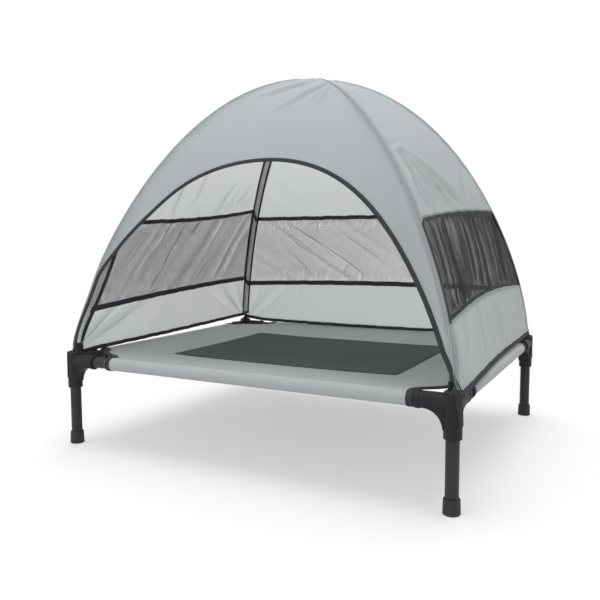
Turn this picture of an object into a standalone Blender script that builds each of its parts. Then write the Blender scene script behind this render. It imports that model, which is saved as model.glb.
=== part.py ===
"""A raised pet cot under a dome canopy.

Four steel legs push into moulded corner connectors, which also hold four rails. A fabric bed with a
sleeve along each side is threaded on the rails. Two bent poles stand in the tops of the connectors and
cross over the bed, and a canopy of sewn panels, with mesh windows on three sides and a door arch in
front, hangs on them. Metres, +Z up, the door faces -Y, and the floor is at z = 0.
"""

import math

import bmesh
import bpy
import numpy as np
from mathutils import Matrix, Vector

# Frame: driving dimensions
LEG_SPACING_X = 0.914
LEG_SPACING_Y = 0.752
RAIL_HEIGHT = 0.201
TUBE_D = 0.025
TUBE_WALL = 0.0012
TOUCH_GAP = 0.0003
SOCKET_CLEARANCE = 0.0003

# Foot caps
CAP_HEIGHT = 0.029
CAP_FLOOR = 0.004
CAP_WALL = 0.0026
CAP_FLARE = 0.0008
CAP_EDGE = 0.0022

# Corner connectors
SOCKET_WALL = 0.0038
SOCKET_BELOW_RAIL = 0.065
TOP_ABOVE_RAIL = 0.021
LEG_STOP_BELOW_RAIL = 0.013
ARM_WALL = 0.0032
ARM_LENGTH = 0.068
ARM_LIP = 0.0012
ARM_LIP_LENGTH = 0.008
ARM_ROOT = 0.004
RAIL_STOP = 0.0205
GUSSET_REACH = 0.052
GUSSET_DROP = 0.046
GUSSET_THICKNESS = 0.021
GUSSET_HOLLOW = 0.010
GUSSET_ROOT = 0.005
TOP_CHAMFER = 0.0025

# Bed
BED_CLOTH = 0.0012
BED_SLEEVE_WALL = 0.0015
BED_EDGE_INSET = 0.0005
SLEEVE_SLACK = 0.0007
BED_SHIFT_X = 0.020
BED_PAST_ARM_X = 0.025
BED_PAST_ARM_Y = 0.029
BED_CUT_HOLLOW = 0.010
BED_CUT_STRAIGHT = 0.017
BED_SLEEVE_SHORT = 0.030
BED_SAG = 0.017
BED_PANEL_X = 0.585
BED_PANEL_Y = 0.415

# Canopy poles
POLE_D = 0.007
POLE_INSET = 0.006
POLE_BASE_ABOVE_CONNECTOR = 0.018
POLE_JOINT_GAP = 0.001
CROSSING_GAP = 0.0005
CROSSING_SPREAD = 0.15
POLE_CLEARANCE = 0.0003
FERRULE_WALL = 0.0006
FERRULE_LENGTH = 0.050
FIRST_STATION = 0.012
QUARTER_STEPS = 13
TIP_PIN_D = 0.009
TIP_PIN_LENGTH = 0.023
TIP_FLANGE_D = 0.012
TIP_FLANGE = 0.002
TIP_WALL = 0.0015
TIP_SHORT = 0.004
TIP_GRIP = 0.011

# Canopy cloth
CANOPY_HEIGHT = 0.642
CANOPY_CLOTH = 0.0008
MESH_CLOTH = 0.0006
TAPE_THICKNESS = 0.0020
TAPE_WIDTH = 0.007
RIDGE_OFFSET = 0.011
RIDGE_INSET = 0.0010
TAPE_INSET = 0.0018
SLEEVE_GAP = 0.0005
SLEEVE_WALL = 0.0006
SLEEVE_END = 0.055
SLEEVE_HALF = 0.0085
SLEEVE_EDGE = 0.0022
APEX_CUT = 0.9996
PANEL_SAG = 0.007
UPPER_FOLD_DEPTH = 0.004
WINDOW_FOLD_DEPTH = 0.005
FLARE_START = 0.012
FLARE_DROP = 0.0235
HEM_LIFT_REACH = 0.050
FRONT_HEM = -0.0142
DOOR_TOP = 0.420
DOOR_MARGIN = 0.0125
DOOR_RISE_POWER = 1.6
DOOR_SPREAD_POWER = 2.1
STRAP_WIDTH = 0.014
STRAP_THICKNESS = 0.0012
STRAP_BOTTOM_ABOVE_SOCKET = 0.024
STRAP_TUCK = 0.0035
STRAP_SHORT = 0.0075

# Each ridge stands in the upright plane through its corner and the middle. Its distance from the middle
# is (1 - height ** rise) ** (1 / spread), with both as shares of their largest value.
RIDGE_SHAPE = {
    "front_left": (1.26, 2.05),
    "front_right": (1.58, 1.41),
    "rear_left": (1.43, 2.20),
    "rear_right": (1.43, 2.20),
}
# How far the cloth is pulled out over each connector, at the flare's drop below its start
CORNER_FLARE = {
    "front_left": 0.0,
    "front_right": 0.0115,
    "rear_left": 0.0,
    "rear_right": 0.0060,
}
# Here the hem hangs down outside the connector, so the strap begins below it.
OUTER_CORNERS = ("front_right",)
# Seams and hems of the sides: heights over the poles' bases at their front and rear end, and the bow
# between. The rear side is taken from its right end to its left. A hem has a lift at either end too,
# which takes it over the pole tips.
SEAMS = {
    "left": {
        "hem": (-0.0205, -0.0020, 0.0, 0.0102, 0.0),
        "low": (0.0780, 0.1210, 0.008),
        "top": (0.2905, 0.3400, -0.009),
    },
    "right": {
        "hem": (-0.0210, -0.0090, 0.0, 0.0, 0.0),
        "low": (0.0971, 0.1209, 0.0168),
        "top": (0.2823, 0.3183, 0.0074),
    },
    "rear": {
        "hem": (-0.0165, -0.0165, -0.0037, 0.0062, 0.0062),
        "low": (0.1080, 0.1030, 0.009),
        "top": (0.3115, 0.3140, 0.0),
    },
}
CORNERS = {
    "front_left": (-1, -1),
    "front_right": (1, -1),
    "rear_left": (-1, 1),
    "rear_right": (1, 1),
}
# The corners at the left and right end of each side, seen from outside
SIDES = {
    "front": ("front_left", "front_right"),
    "right": ("front_right", "rear_right"),
    "rear": ("rear_right", "rear_left"),
    "left": ("rear_left", "front_left"),
}

TUBE_R = TUBE_D / 2
POLE_R = POLE_D / 2
LEG_X = LEG_SPACING_X / 2
LEG_Y = LEG_SPACING_Y / 2
POLE_X = LEG_X - POLE_INSET
POLE_Y = LEG_Y - POLE_INSET
BORE_R = TUBE_R + SOCKET_CLEARANCE
SOCKET_R = BORE_R + SOCKET_WALL
ARM_R = BORE_R + ARM_WALL
SLEEVE_IN = TUBE_R + SLEEVE_SLACK
SLEEVE_OUT = SLEEVE_IN + BED_SLEEVE_WALL
BED_TOP = RAIL_HEIGHT + SLEEVE_OUT - BED_SLEEVE_WALL / 2
BED_CUT_X = ARM_LENGTH + BED_PAST_ARM_X
BED_CUT_Y = ARM_LENGTH + BED_PAST_ARM_Y
BED_CUTTER_HEIGHT = 8 * SLEEVE_OUT
BED_CUTTER_REACH = 4 * SLEEVE_OUT
SOCKET_BOTTOM = RAIL_HEIGHT - SOCKET_BELOW_RAIL
CONNECTOR_TOP = RAIL_HEIGHT + TOP_ABOVE_RAIL
LEG_STOP = RAIL_HEIGHT - LEG_STOP_BELOW_RAIL
POLE_BASE = CONNECTOR_TOP + POLE_BASE_ABOVE_CONNECTOR
FERRULE_IN = POLE_R + POLE_CLEARANCE
FERRULE_OUT = FERRULE_IN + FERRULE_WALL
SLEEVE_CROWN = FERRULE_OUT + SLEEVE_GAP + SLEEVE_WALL / 2
DOOR_HALF_WIDTH = POLE_X * (1 + RIDGE_OFFSET / math.hypot(POLE_X, POLE_Y)) - DOOR_MARGIN


def start_scene():
    """An empty scene with one collection for the parts and one for the cutters."""
    for obj in list(bpy.data.objects):
        bpy.data.objects.remove(obj, do_unlink=True)
    parts = bpy.data.collections.new("Canopy pet cot")
    cutters = bpy.data.collections.new("Cutters")
    for collection in (parts, cutters):
        bpy.context.scene.collection.children.link(collection)
    return parts, cutters


PARTS, CUTTERS = start_scene()


def make_material(name, colour, roughness, metallic=0.0):
    material = bpy.data.materials.new(name)
    material.use_nodes = True
    shader = material.node_tree.nodes["Principled BSDF"]
    shader.inputs["Base Color"].default_value = (*colour, 1.0)
    shader.inputs["Roughness"].default_value = roughness
    shader.inputs["Metallic"].default_value = metallic
    return material


STEEL = make_material("powder_coated_steel", (0.042, 0.045, 0.050), 0.42, 0.2)
PLASTIC = make_material("black_moulded_plastic", (0.028, 0.028, 0.031), 0.55)
RUBBER = make_material("foot_plastic", (0.035, 0.036, 0.040), 0.65)
BED_FABRIC = make_material("grey_bed_fabric", (0.34, 0.35, 0.36), 0.85)
DARK_FABRIC = make_material("dark_bed_panel", (0.065, 0.075, 0.078), 0.85)
CANOPY_FABRIC = make_material("light_canopy_fabric", (0.46, 0.50, 0.52), 0.70)
WINDOW_MESH = make_material("window_mesh", (0.050, 0.052, 0.056), 0.80)
TAPE = make_material("black_tape", (0.045, 0.050, 0.056), 0.80)
FIBREGLASS = make_material("pole_fibreglass", (0.035, 0.035, 0.038), 0.35)
FERRULE_METAL = make_material("ferrule_metal", (0.60, 0.60, 0.62), 0.30, 1.0)


def add_object(name, mesh, material=None, cutter=False):
    """Links a mesh as a part, or as a cutter, which is left out of the object."""
    obj = bpy.data.objects.new(name, mesh)
    if cutter:
        CUTTERS.objects.link(obj)
        obj.hide_render = True
        obj.display_type = "WIRE"
    else:
        PARTS.objects.link(obj)
        if not mesh.materials:
            mesh.materials.append(material)
    return obj


def shade_round(mesh, degrees=35):
    mesh.shade_smooth()
    mesh.set_sharp_from_angle(angle=math.radians(degrees))


def evaluated_mesh(obj):
    """The object's mesh with its modifiers applied, as new mesh data."""
    bpy.context.view_layer.update()
    graph = bpy.context.evaluated_depsgraph_get()
    return bpy.data.meshes.new_from_object(obj.evaluated_get(graph))


def turned(name, profile, material=None, steps=24, ring=False, cutter=False):
    """Turns a profile of (radius, height) points about Z. Its outer side runs from top to bottom."""
    count = len(profile)
    edges = [(i, i + 1) for i in range(count - 1)]
    if ring:
        edges.append((count - 1, 0))
    mesh = bpy.data.meshes.new(name)
    mesh.from_pydata([(r, 0.0, z) for r, z in profile], edges, [])
    obj = add_object(name, mesh, material, cutter)
    turn = obj.modifiers.new("Turn", "SCREW")
    turn.steps = steps
    turn.render_steps = steps
    turn.use_merge_vertices = True
    turn.merge_threshold = 0.00001
    return obj


def tube_profile(inner, outer, low, high):
    return [(inner, high), (outer, high), (outer, low), (inner, low)]


def rod_profile(radius, low, high):
    return [(0.0, high), (radius, high), (radius, low), (0.0, low)]


def flat_plate(name, outline, thickness):
    """A cutter or helper plate: a filled flat curve in its own XY plane, made a mesh."""
    curve = bpy.data.curves.new(name, "CURVE")
    curve.dimensions = "2D"
    curve.fill_mode = "BOTH"
    curve.extrude = thickness / 2
    spline = curve.splines.new("POLY")
    spline.points.add(len(outline) - 1)
    for point, (x, y) in zip(spline.points, outline):
        point.co = (x, y, 0.0, 1.0)
    spline.use_cyclic_u = True
    shape = bpy.data.objects.new(name, curve)
    CUTTERS.objects.link(shape)
    mesh = evaluated_mesh(shape)
    bpy.data.objects.remove(shape)
    weld(mesh)
    return add_object(name, mesh, cutter=True)


def weld(mesh, distance=0.00001):
    joined = bmesh.new()
    joined.from_mesh(mesh)
    bmesh.ops.remove_doubles(joined, verts=joined.verts, dist=distance)
    bmesh.ops.recalc_face_normals(joined, faces=joined.faces)
    joined.to_mesh(mesh)
    joined.free()


def combine(target, others, operation):
    """Joins the other solids to the target, or cuts them from it, all in one step."""
    group = bpy.data.collections.new(f"{target.name}_{operation.lower()}")
    CUTTERS.children.link(group)
    for other in others:
        group.objects.link(other)
    change = target.modifiers.new(group.name, "BOOLEAN")
    change.operation = operation
    change.operand_type = "COLLECTION"
    change.collection = group


def tube_along(name, points, radius, material, resolution=2, wall=0.0):
    """A rod along the points or, with a wall, an open tube whose wall lies outside the radius."""
    curve = bpy.data.curves.new(name, "CURVE")
    curve.dimensions = "3D"
    curve.bevel_depth = radius
    curve.bevel_resolution = resolution
    curve.use_fill_caps = wall == 0.0
    spline = curve.splines.new("POLY")
    spline.points.add(len(points) - 1)
    for point, place in zip(spline.points, points):
        point.co = (*place, 1.0)
    if not wall:
        curve.materials.append(material)
        obj = bpy.data.objects.new(name, curve)
        PARTS.objects.link(obj)
        return obj
    shape = bpy.data.objects.new(name, curve)
    CUTTERS.objects.link(shape)
    mesh = evaluated_mesh(shape)
    bpy.data.objects.remove(shape)
    weld(mesh)
    mesh.materials.clear()
    obj = add_object(name, mesh, material)
    shell = obj.modifiers.new("Wall", "SOLIDIFY")
    shell.thickness = wall
    shell.offset = 1.0
    return obj


def cloth_sheet(name, grid, thickness, material):
    """A grid of points, rows by columns by 3, given a thickness half to each side."""
    rows, columns = grid.shape[:2]
    index = np.arange(rows * columns).reshape(rows, columns)
    faces = np.stack(
        [index[:-1, :-1], index[:-1, 1:], index[1:, 1:], index[1:, :-1]], axis=-1
    ).reshape(-1, 4)
    mesh = bpy.data.meshes.new(name)
    mesh.from_pydata(grid.reshape(-1, 3).tolist(), [], faces.tolist())
    mesh.shade_smooth()
    obj = add_object(name, mesh, material)
    shell = obj.modifiers.new("Cloth", "SOLIDIFY")
    shell.thickness = thickness
    shell.offset = 0.0
    return obj


# The legs, their caps and the rails


def make_leg(corner, side_x, side_y):
    bottom = CAP_FLOOR + TOUCH_GAP
    top = LEG_STOP - TOUCH_GAP
    profile = tube_profile(TUBE_R - TUBE_WALL, TUBE_R, bottom, top)
    leg = turned(f"leg_{corner}", profile, STEEL, ring=True)
    leg.location = (side_x * LEG_X, side_y * LEG_Y, 0.0)


def make_foot_cap(corner, side_x, side_y):
    """A pushed-on cup with a flared foot and a rounded bottom edge."""
    outer = BORE_R + CAP_WALL
    foot = outer + CAP_FLARE
    turn = np.radians([0, 30, 60, 90])
    edge = [
        (foot - CAP_EDGE + CAP_EDGE * math.cos(a), CAP_EDGE - CAP_EDGE * math.sin(a))
        for a in turn
    ]
    profile = [
        (0.0, CAP_FLOOR),
        (BORE_R, CAP_FLOOR),
        (BORE_R, CAP_HEIGHT),
        (outer - 0.0006, CAP_HEIGHT),
        (outer, CAP_HEIGHT - 0.0012),
        *edge,
        (0.0, 0.0),
    ]
    cap = turned(f"foot_cap_{corner}", profile, RUBBER, steps=20)
    cap.location = (side_x * LEG_X, side_y * LEG_Y, 0.0)


def make_rails():
    profile_x = tube_profile(
        TUBE_R - TUBE_WALL, TUBE_R, -LEG_X + RAIL_STOP + TOUCH_GAP, LEG_X - RAIL_STOP - TOUCH_GAP
    )
    profile_y = tube_profile(
        TUBE_R - TUBE_WALL, TUBE_R, -LEG_Y + RAIL_STOP + TOUCH_GAP, LEG_Y - RAIL_STOP - TOUCH_GAP
    )
    for name, side in (("front_rail", -1), ("rear_rail", 1)):
        rail = turned(name, profile_x, STEEL, ring=True)
        rail.rotation_euler = (0.0, math.pi / 2, 0.0)
        rail.location = (0.0, side * LEG_Y, RAIL_HEIGHT)
    for name, side in (("left_rail", -1), ("right_rail", 1)):
        rail = turned(name, profile_y, STEEL, ring=True)
        rail.rotation_euler = (math.pi / 2, 0.0, 0.0)
        rail.location = (side * LEG_X, 0.0, RAIL_HEIGHT)


# The corner connector, modelled once with its leg axis on Z and its arms along +X and +Y


def gusset_outline():
    """The web under an arm: its free edge is an arc, hollow towards the corner."""
    start = np.array([GUSSET_REACH, RAIL_HEIGHT - ARM_R + 0.003])
    end = np.array([SOCKET_R - 0.001, RAIL_HEIGHT - GUSSET_DROP - ARM_WALL])
    middle = (start + end) / 2
    along = (end - start) / np.linalg.norm(end - start)
    inward = np.array([along[1], -along[0]])
    if inward @ middle > 0 and inward[0] > 0:
        inward = -inward
    shares = np.linspace(0.0, 1.0, 9)
    free = [
        start + (end - start) * s + inward * GUSSET_HOLLOW * 4 * s * (1 - s) for s in shares
    ]
    return [
        (GUSSET_ROOT, RAIL_HEIGHT),
        (GUSSET_REACH, RAIL_HEIGHT),
        *[tuple(p) for p in free],
        (GUSSET_ROOT, end[1]),
    ]


def arm_profile():
    """An arm of the connector, turned about its own axis, with a lip round its mouth."""
    lip = ARM_R + ARM_LIP
    return [
        (0.0, ARM_LENGTH),
        (lip - 0.0010, ARM_LENGTH),
        (lip, ARM_LENGTH - 0.0015),
        (lip, ARM_LENGTH - ARM_LIP_LENGTH),
        (ARM_R, ARM_LENGTH - ARM_LIP_LENGTH - 0.002),
        (ARM_R, ARM_ROOT),
        (0.0, ARM_ROOT),
    ]


def connector_mesh():
    """The leg socket, two arms and their webs joined, and then the bores cut."""
    body_profile = [
        (0.0, CONNECTOR_TOP),
        (SOCKET_R - TOP_CHAMFER, CONNECTOR_TOP),
        (SOCKET_R, CONNECTOR_TOP - TOP_CHAMFER),
        (SOCKET_R, SOCKET_BOTTOM + 0.0012),
        (SOCKET_R - 0.0012, SOCKET_BOTTOM),
        (0.0, SOCKET_BOTTOM),
    ]
    body = turned("connector", body_profile, PLASTIC, steps=24, cutter=True)
    upright = Matrix.Rotation(math.pi / 2, 4, "X")
    solids = []
    bores = []
    for name, spin in (("x", 0.0), ("y", math.pi / 2)):
        about = Matrix.Rotation(spin, 4, "Z")
        along = Matrix.Translation((0.0, 0.0, RAIL_HEIGHT)) @ about
        sideways = along @ Matrix.Rotation(math.pi / 2, 4, "Y")
        arm = turned(f"arm_{name}", arm_profile(), steps=20, cutter=True)
        arm.matrix_world = sideways
        web = flat_plate(f"gusset_{name}", gusset_outline(), GUSSET_THICKNESS)
        web.matrix_world = about @ upright
        solids += [arm, web]
        bore = turned(
            f"rail_bore_{name}", rod_profile(BORE_R, RAIL_STOP, ARM_LENGTH + 0.01), steps=20, cutter=True
        )
        bore.matrix_world = sideways
        bores.append(bore)
    leg_bore = turned(
        "leg_bore", rod_profile(BORE_R, SOCKET_BOTTOM - 0.01, LEG_STOP), steps=24, cutter=True
    )
    pin_r = TIP_PIN_D / 2 + SOCKET_CLEARANCE
    pin_low = CONNECTOR_TOP - TIP_PIN_LENGTH - 0.001
    pole_bore = turned(
        "pole_bore", rod_profile(pin_r, pin_low, CONNECTOR_TOP + 0.01), steps=16, cutter=True
    )
    pole_bore.location = (POLE_INSET, POLE_INSET, 0.0)
    combine(body, solids, "UNION")
    combine(body, [*bores, leg_bore, pole_bore], "DIFFERENCE")
    mesh = evaluated_mesh(body)
    bpy.data.objects.remove(body)
    mesh.materials.clear()
    mesh.materials.append(PLASTIC)
    shade_round(mesh)
    return mesh


def make_connectors():
    mesh = connector_mesh()
    turns = {"front_left": 0, "front_right": 1, "rear_right": 2, "rear_left": 3}
    for corner, (side_x, side_y) in CORNERS.items():
        connector = add_object(f"corner_connector_{corner}", mesh)
        connector.rotation_euler = (0.0, 0.0, turns[corner] * math.pi / 2)
        connector.location = (side_x * LEG_X, side_y * LEG_Y, 0.0)


# The bed


def bed_height(x, y):
    """The sheet's middle surface: level with the tops of its sleeves, and hanging in between them."""
    hang = (1 - (x / LEG_X) ** 4) * (1 - (y / LEG_Y) ** 4)
    return BED_TOP - BED_SAG * np.clip(hang, 0.0, 1.0)


def bed_grid(low_x, high_x, low_y, high_y, columns, rows):
    x, y = np.meshgrid(np.linspace(low_x, high_x, columns), np.linspace(low_y, high_y, rows))
    return np.stack([x, y, bed_height(x, y)], axis=-1)


def corner_cut_outline(side_x, side_y):
    """The corner left open round a connector: square across each sleeve, and hollow between them."""
    inner_x = side_x * (LEG_X - BED_CUT_X) + BED_SHIFT_X
    inner_y = side_y * (LEG_Y - BED_CUT_Y)
    start = np.array([inner_x, side_y * (LEG_Y - BED_CUT_STRAIGHT)])
    end = np.array([side_x * (LEG_X - BED_CUT_STRAIGHT), inner_y])
    inward = -np.array([side_x, side_y]) / math.sqrt(2)
    edge = [
        start + (end - start) * s + inward * BED_CUT_HOLLOW * 4 * s * (1 - s)
        for s in np.linspace(0.0, 1.0, 7)
    ]
    far_x = side_x * (LEG_X + BED_CUTTER_REACH)
    far_y = side_y * (LEG_Y + BED_CUTTER_REACH)
    return [(inner_x, far_y), *[tuple(p) for p in edge], (far_x, inner_y), (far_x, far_y)]


def sleeve_rod(name, side_x, side_y, radius, reach):
    """A cutter rod along one side's rail."""
    rod = turned(name, rod_profile(radius, -reach, reach), steps=20, cutter=True)
    rod.rotation_euler = (0.0, math.pi / 2, 0.0) if side_y else (math.pi / 2, 0.0, 0.0)
    rod.location = (side_x * LEG_X, side_y * LEG_Y, RAIL_HEIGHT)
    return rod


def make_bed():
    """The sheet with a sleeve along each side, cut out at its corners, and its darker middle panel."""
    edge_x = LEG_X - BED_EDGE_INSET
    edge_y = LEG_Y - BED_EDGE_INSET
    sheet = cloth_sheet(
        "bed_sheet", bed_grid(-edge_x, edge_x, -edge_y, edge_y, 15, 13), BED_CLOTH, BED_FABRIC
    )
    sides = {"front": (0, -1), "rear": (0, 1), "left": (-1, 0), "right": (1, 0)}
    rods = []
    bores = []
    for name, (side_x, side_y) in sides.items():
        half = LEG_X if side_y else LEG_Y
        rods.append(sleeve_rod(f"{name}_sleeve", side_x, side_y, SLEEVE_OUT, half - BED_SLEEVE_SHORT))
        bores.append(sleeve_rod(f"{name}_sleeve_bore", side_x, side_y, SLEEVE_IN, LEG_X))
    openings = []
    for corner, (side_x, side_y) in CORNERS.items():
        cut = flat_plate(f"bed_cut_{corner}", corner_cut_outline(side_x, side_y), BED_CUTTER_HEIGHT)
        cut.location = (0.0, 0.0, RAIL_HEIGHT)
        openings.append(cut)
    half_x = BED_PANEL_X / 2
    half_y = BED_PANEL_Y / 2
    opening = flat_plate(
        "bed_panel_cut",
        [(-half_x, -half_y), (half_x, -half_y), (half_x, half_y), (-half_x, half_y)],
        BED_CUTTER_HEIGHT,
    )
    opening.location = (0.0, 0.0, RAIL_HEIGHT)
    openings.append(opening)
    combine(sheet, rods, "UNION")
    combine(sheet, openings, "DIFFERENCE")
    combine(sheet, bores, "DIFFERENCE")
    inner_x = half_x - TOUCH_GAP
    inner_y = half_y - TOUCH_GAP
    cloth_sheet(
        "bed_centre_panel",
        bed_grid(-inner_x, inner_x, -inner_y, inner_y, 9, 7),
        BED_CLOTH,
        DARK_FABRIC,
    )


# The canopy's ridges and poles


def ridge_share(corner, height):
    """How far out a ridge stands at a height, as a share of its reach at the bottom."""
    rise, spread = RIDGE_SHAPE[corner]
    height = np.clip(height, 0.0, 1.0)
    return (1 - height**rise) ** (1 / spread)


def outward(corner):
    """The level direction from the middle to a pole's foot."""
    side_x, side_y = CORNERS[corner]
    reach = math.hypot(POLE_X, POLE_Y)
    return np.array([side_x * POLE_X / reach, side_y * POLE_Y / reach, 0.0])


def ridge_points(corner, height):
    """Points of the cloth's ridge at heights given as shares, 0 at the poles' bases and 1 on top."""
    reach = math.hypot(POLE_X, POLE_Y) + RIDGE_OFFSET
    height = np.asarray(height, float)
    level = reach * ridge_share(corner, height)
    points = level[..., None] * outward(corner)
    points[..., 2] = POLE_BASE + CANOPY_HEIGHT * height
    return points


def pole_quarter(corner, lower):
    """The pole's middle line from its base to the crossing, with vertices at evenly spaced stations.

    It runs inside the ridge by a fixed offset. The lower pole dips below the other at the crossing.
    """
    along = np.linspace(0.0, 1.0, 600)
    ridge = ridge_points(corner, 1 - (1 - along) ** 2)
    level = ridge @ outward(corner)
    tangent = np.stack([np.gradient(level), np.gradient(ridge[:, 2])], axis=1)
    tangent /= np.linalg.norm(tangent, axis=1)[:, None]
    tangent[0] = (0.0, 1.0)
    tangent[-1] = (-1.0, 0.0)
    dip = lower * (POLE_D + CROSSING_GAP) * np.exp(-((level / CROSSING_SPREAD) ** 2))
    offset = RIDGE_OFFSET + dip
    level = level - tangent[:, 1] * offset
    height = ridge[:, 2] + tangent[:, 0] * offset
    length = np.concatenate([[0.0], np.cumsum(np.hypot(np.diff(level), np.diff(height)))])
    stations = np.concatenate(
        [[0.0], np.linspace(FIRST_STATION, length[-1], QUARTER_STEPS)]
    )
    level = np.interp(stations, length, level)
    height = np.interp(stations, length, height)
    points = level[:, None] * outward(corner)
    points[:, 2] = height
    points[0] = (*points[0, :2], POLE_BASE)
    return points


def pole_line(first, last, lower):
    """The whole pole's vertices, from foot to foot, ending upright in its tips."""
    up = pole_quarter(first, lower)
    down = pole_quarter(last, lower)[::-1]
    grip = np.array([0.0, 0.0, TIP_GRIP])
    middle = (up[-1] + down[0]) / 2
    return np.concatenate([[up[0] - grip], up[:-1], [middle], down[1:], [down[-1] - grip]])


def between(line, first, last):
    """The vertices from first to last, drawn in by half of the joint gap at inner ends."""
    piece = line[first : last + 1].copy()
    half = POLE_JOINT_GAP / 2
    if first > 0:
        step = piece[1] - piece[0]
        piece[0] += step / np.linalg.norm(step) * half
    if last < len(line) - 1:
        step = piece[-2] - piece[-1]
        piece[-1] += step / np.linalg.norm(step) * half
    return piece


def make_pole(name, first, last, lower):
    """A pole in three lengths, joined by two ferrules."""
    line = pole_line(first, last, lower)
    count = len(line)
    joints = (count // 3, count - 1 - count // 3)
    for part, start, end in (
        (first, 0, joints[0]),
        ("middle", joints[0], joints[1]),
        (last, joints[1], count - 1),
    ):
        tube_along(f"{name}_{part}", between(line, start, end), POLE_R, FIBREGLASS)
    for part, joint in zip((first, last), joints):
        before = line[joint - 1] - line[joint]
        after = line[joint + 1] - line[joint]
        half = FERRULE_LENGTH / 2
        points = [
            line[joint] + before / np.linalg.norm(before) * half,
            line[joint],
            line[joint] + after / np.linalg.norm(after) * half,
        ]
        tube_along(f"{name}_ferrule_{part}", points, FERRULE_IN, FERRULE_METAL, wall=FERRULE_WALL)


def make_pole_sleeve(corner, lower):
    """The strip of cloth over the inner side of a pole, which is sewn to the panels beside it."""
    out = outward(corner)
    line = pole_quarter(corner, lower)[1:]
    line = line[line @ out > SLEEVE_END]
    tangent = np.gradient(line, axis=0)
    tangent /= np.linalg.norm(tangent, axis=1)[:, None]
    side = np.array([-out[1], out[0], 0.0])
    inward = np.cross(side, tangent)
    inward *= np.sign(-inward @ out)[:, None]
    across = np.linspace(-1.0, 1.0, 7)
    rise = SLEEVE_EDGE + (SLEEVE_CROWN - SLEEVE_EDGE) * np.cos(across * math.pi / 2)
    grid = (
        line[:, None]
        + side * SLEEVE_HALF * across[None, :, None]
        + inward[:, None] * rise[None, :, None]
    )
    cloth_sheet(f"pole_sleeve_{corner}", grid, SLEEVE_WALL, CANOPY_FABRIC)


def make_pole_tip(corner, side_x, side_y):
    """A moulded end: a pin for the connector's hole, a flange and a cup round the pole's foot."""
    pin = TIP_PIN_D / 2
    grip_in = POLE_R + POLE_CLEARANCE
    grip_out = grip_in + TIP_WALL
    low = CONNECTOR_TOP - TIP_PIN_LENGTH
    seat = CONNECTOR_TOP + TOUCH_GAP
    floor = POLE_BASE - TIP_GRIP - TOUCH_GAP
    profile = [
        (0.0, floor),
        (grip_in, floor),
        (grip_in, POLE_BASE - TIP_SHORT),
        (grip_out, POLE_BASE - TIP_SHORT),
        (grip_out, seat + TIP_FLANGE),
        (TIP_FLANGE_D / 2, seat + TIP_FLANGE),
        (TIP_FLANGE_D / 2, seat),
        (pin, seat),
        (pin, low + 0.001),
        (pin - 0.001, low),
        (0.0, low),
    ]
    tip = turned(f"pole_tip_{corner}", profile, PLASTIC, steps=12)
    tip.location = (side_x * POLE_X, side_y * POLE_Y, 0.0)


# The canopy's cloth


def height_share(z):
    return (z - POLE_BASE) / CANOPY_HEIGHT


def corner_flare(corner, height):
    """The way the cloth's corner is pulled out over its connector, by a power of the depth below a start."""
    depth = np.clip((FLARE_START - CANOPY_HEIGHT * np.asarray(height, float)) / FLARE_DROP, 0.0, None)
    return (CORNER_FLARE[corner] * depth**1.7)[..., None] * outward(corner)


def skin(side, across, height):
    """The canopy's surface on one side, ruled from ridge to ridge and drawn in a little between them.

    across runs from 0 at the left ridge to 1 at the right, seen from outside, and height is a share.
    """
    left, right = (ridge_points(corner, height) for corner in SIDES[side])
    points = left + (right - left) * across[..., None]
    inward = {"front": (0, 1, 0), "right": (-1, 0, 0), "rear": (0, -1, 0), "left": (1, 0, 0)}[side]
    pull = PANEL_SAG * np.sin(math.pi * across) ** 2 * np.clip(1 - height, 0.0, 1.0)
    first, last = (corner_flare(corner, height) for corner in SIDES[side])
    flare = first + (last - first) * across[..., None]
    return points + flare + pull[..., None] * np.array(inward, float)


def inset_across(side, height, across, inset):
    """Squeezes across so that the cloth's edge stays a fixed distance from each ridge."""
    left, right = (ridge_points(corner, height) for corner in SIDES[side])
    width = np.linalg.norm(right - left, axis=-1)
    edge = np.clip(inset / np.maximum(width, 1e-6), 0.0, 0.45)
    return edge + (1 - 2 * edge) * across


def seam_line(side, seam):
    """A seam's height across a side: straight from end to end, with a bow and a lift at either end."""
    front, rear, bow, *lifts = SEAMS[side][seam]
    width = 2 * (POLE_X if side == "rear" else POLE_Y)

    def line(across):
        back = 1 - across if side == "left" else across
        height = front + (rear - front) * back + bow * 4 * back * (1 - back)
        for lift, gap in zip(lifts, (back, 1 - back)):
            height = height + lift * np.exp(-((gap * width / HEM_LIFT_REACH) ** 2))
        return POLE_BASE + height

    return line


def panel_between(side, low, high, columns, rows, inset=RIDGE_INSET, folds=None):
    """The grid of a panel between two lines given as heights across the side."""
    across = np.linspace(0.0, 1.0, columns)[None, :]
    share = np.linspace(0.0, 1.0, rows)[:, None]
    low_z, high_z = low(across), high(across)
    low_t = 1 - np.sqrt(1 - np.clip(height_share(low_z), -0.1, 1.0))
    high_t = 1 - np.sqrt(1 - np.clip(height_share(high_z), -0.1, 1.0))
    height = 1 - (1 - (low_t + (high_t - low_t) * share)) ** 2
    across = np.broadcast_to(across, height.shape)
    points = skin(side, inset_across(side, height, across, inset), height)
    if folds is not None:
        inward = {"right": (-1, 0, 0), "rear": (0, -1, 0), "left": (1, 0, 0)}[side]
        points = points + folds(across, share)[..., None] * np.array(inward, float)
    return points


def upper_folds(across, share):
    """Slack folds that hang down from the top seam of a side, deepest half way up."""
    wave = np.sin(across * math.pi * 7) * 0.5 + 0.5
    return UPPER_FOLD_DEPTH * wave * np.sin(math.pi * across) ** 2 * np.sin(math.pi * share) ** 2


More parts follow.
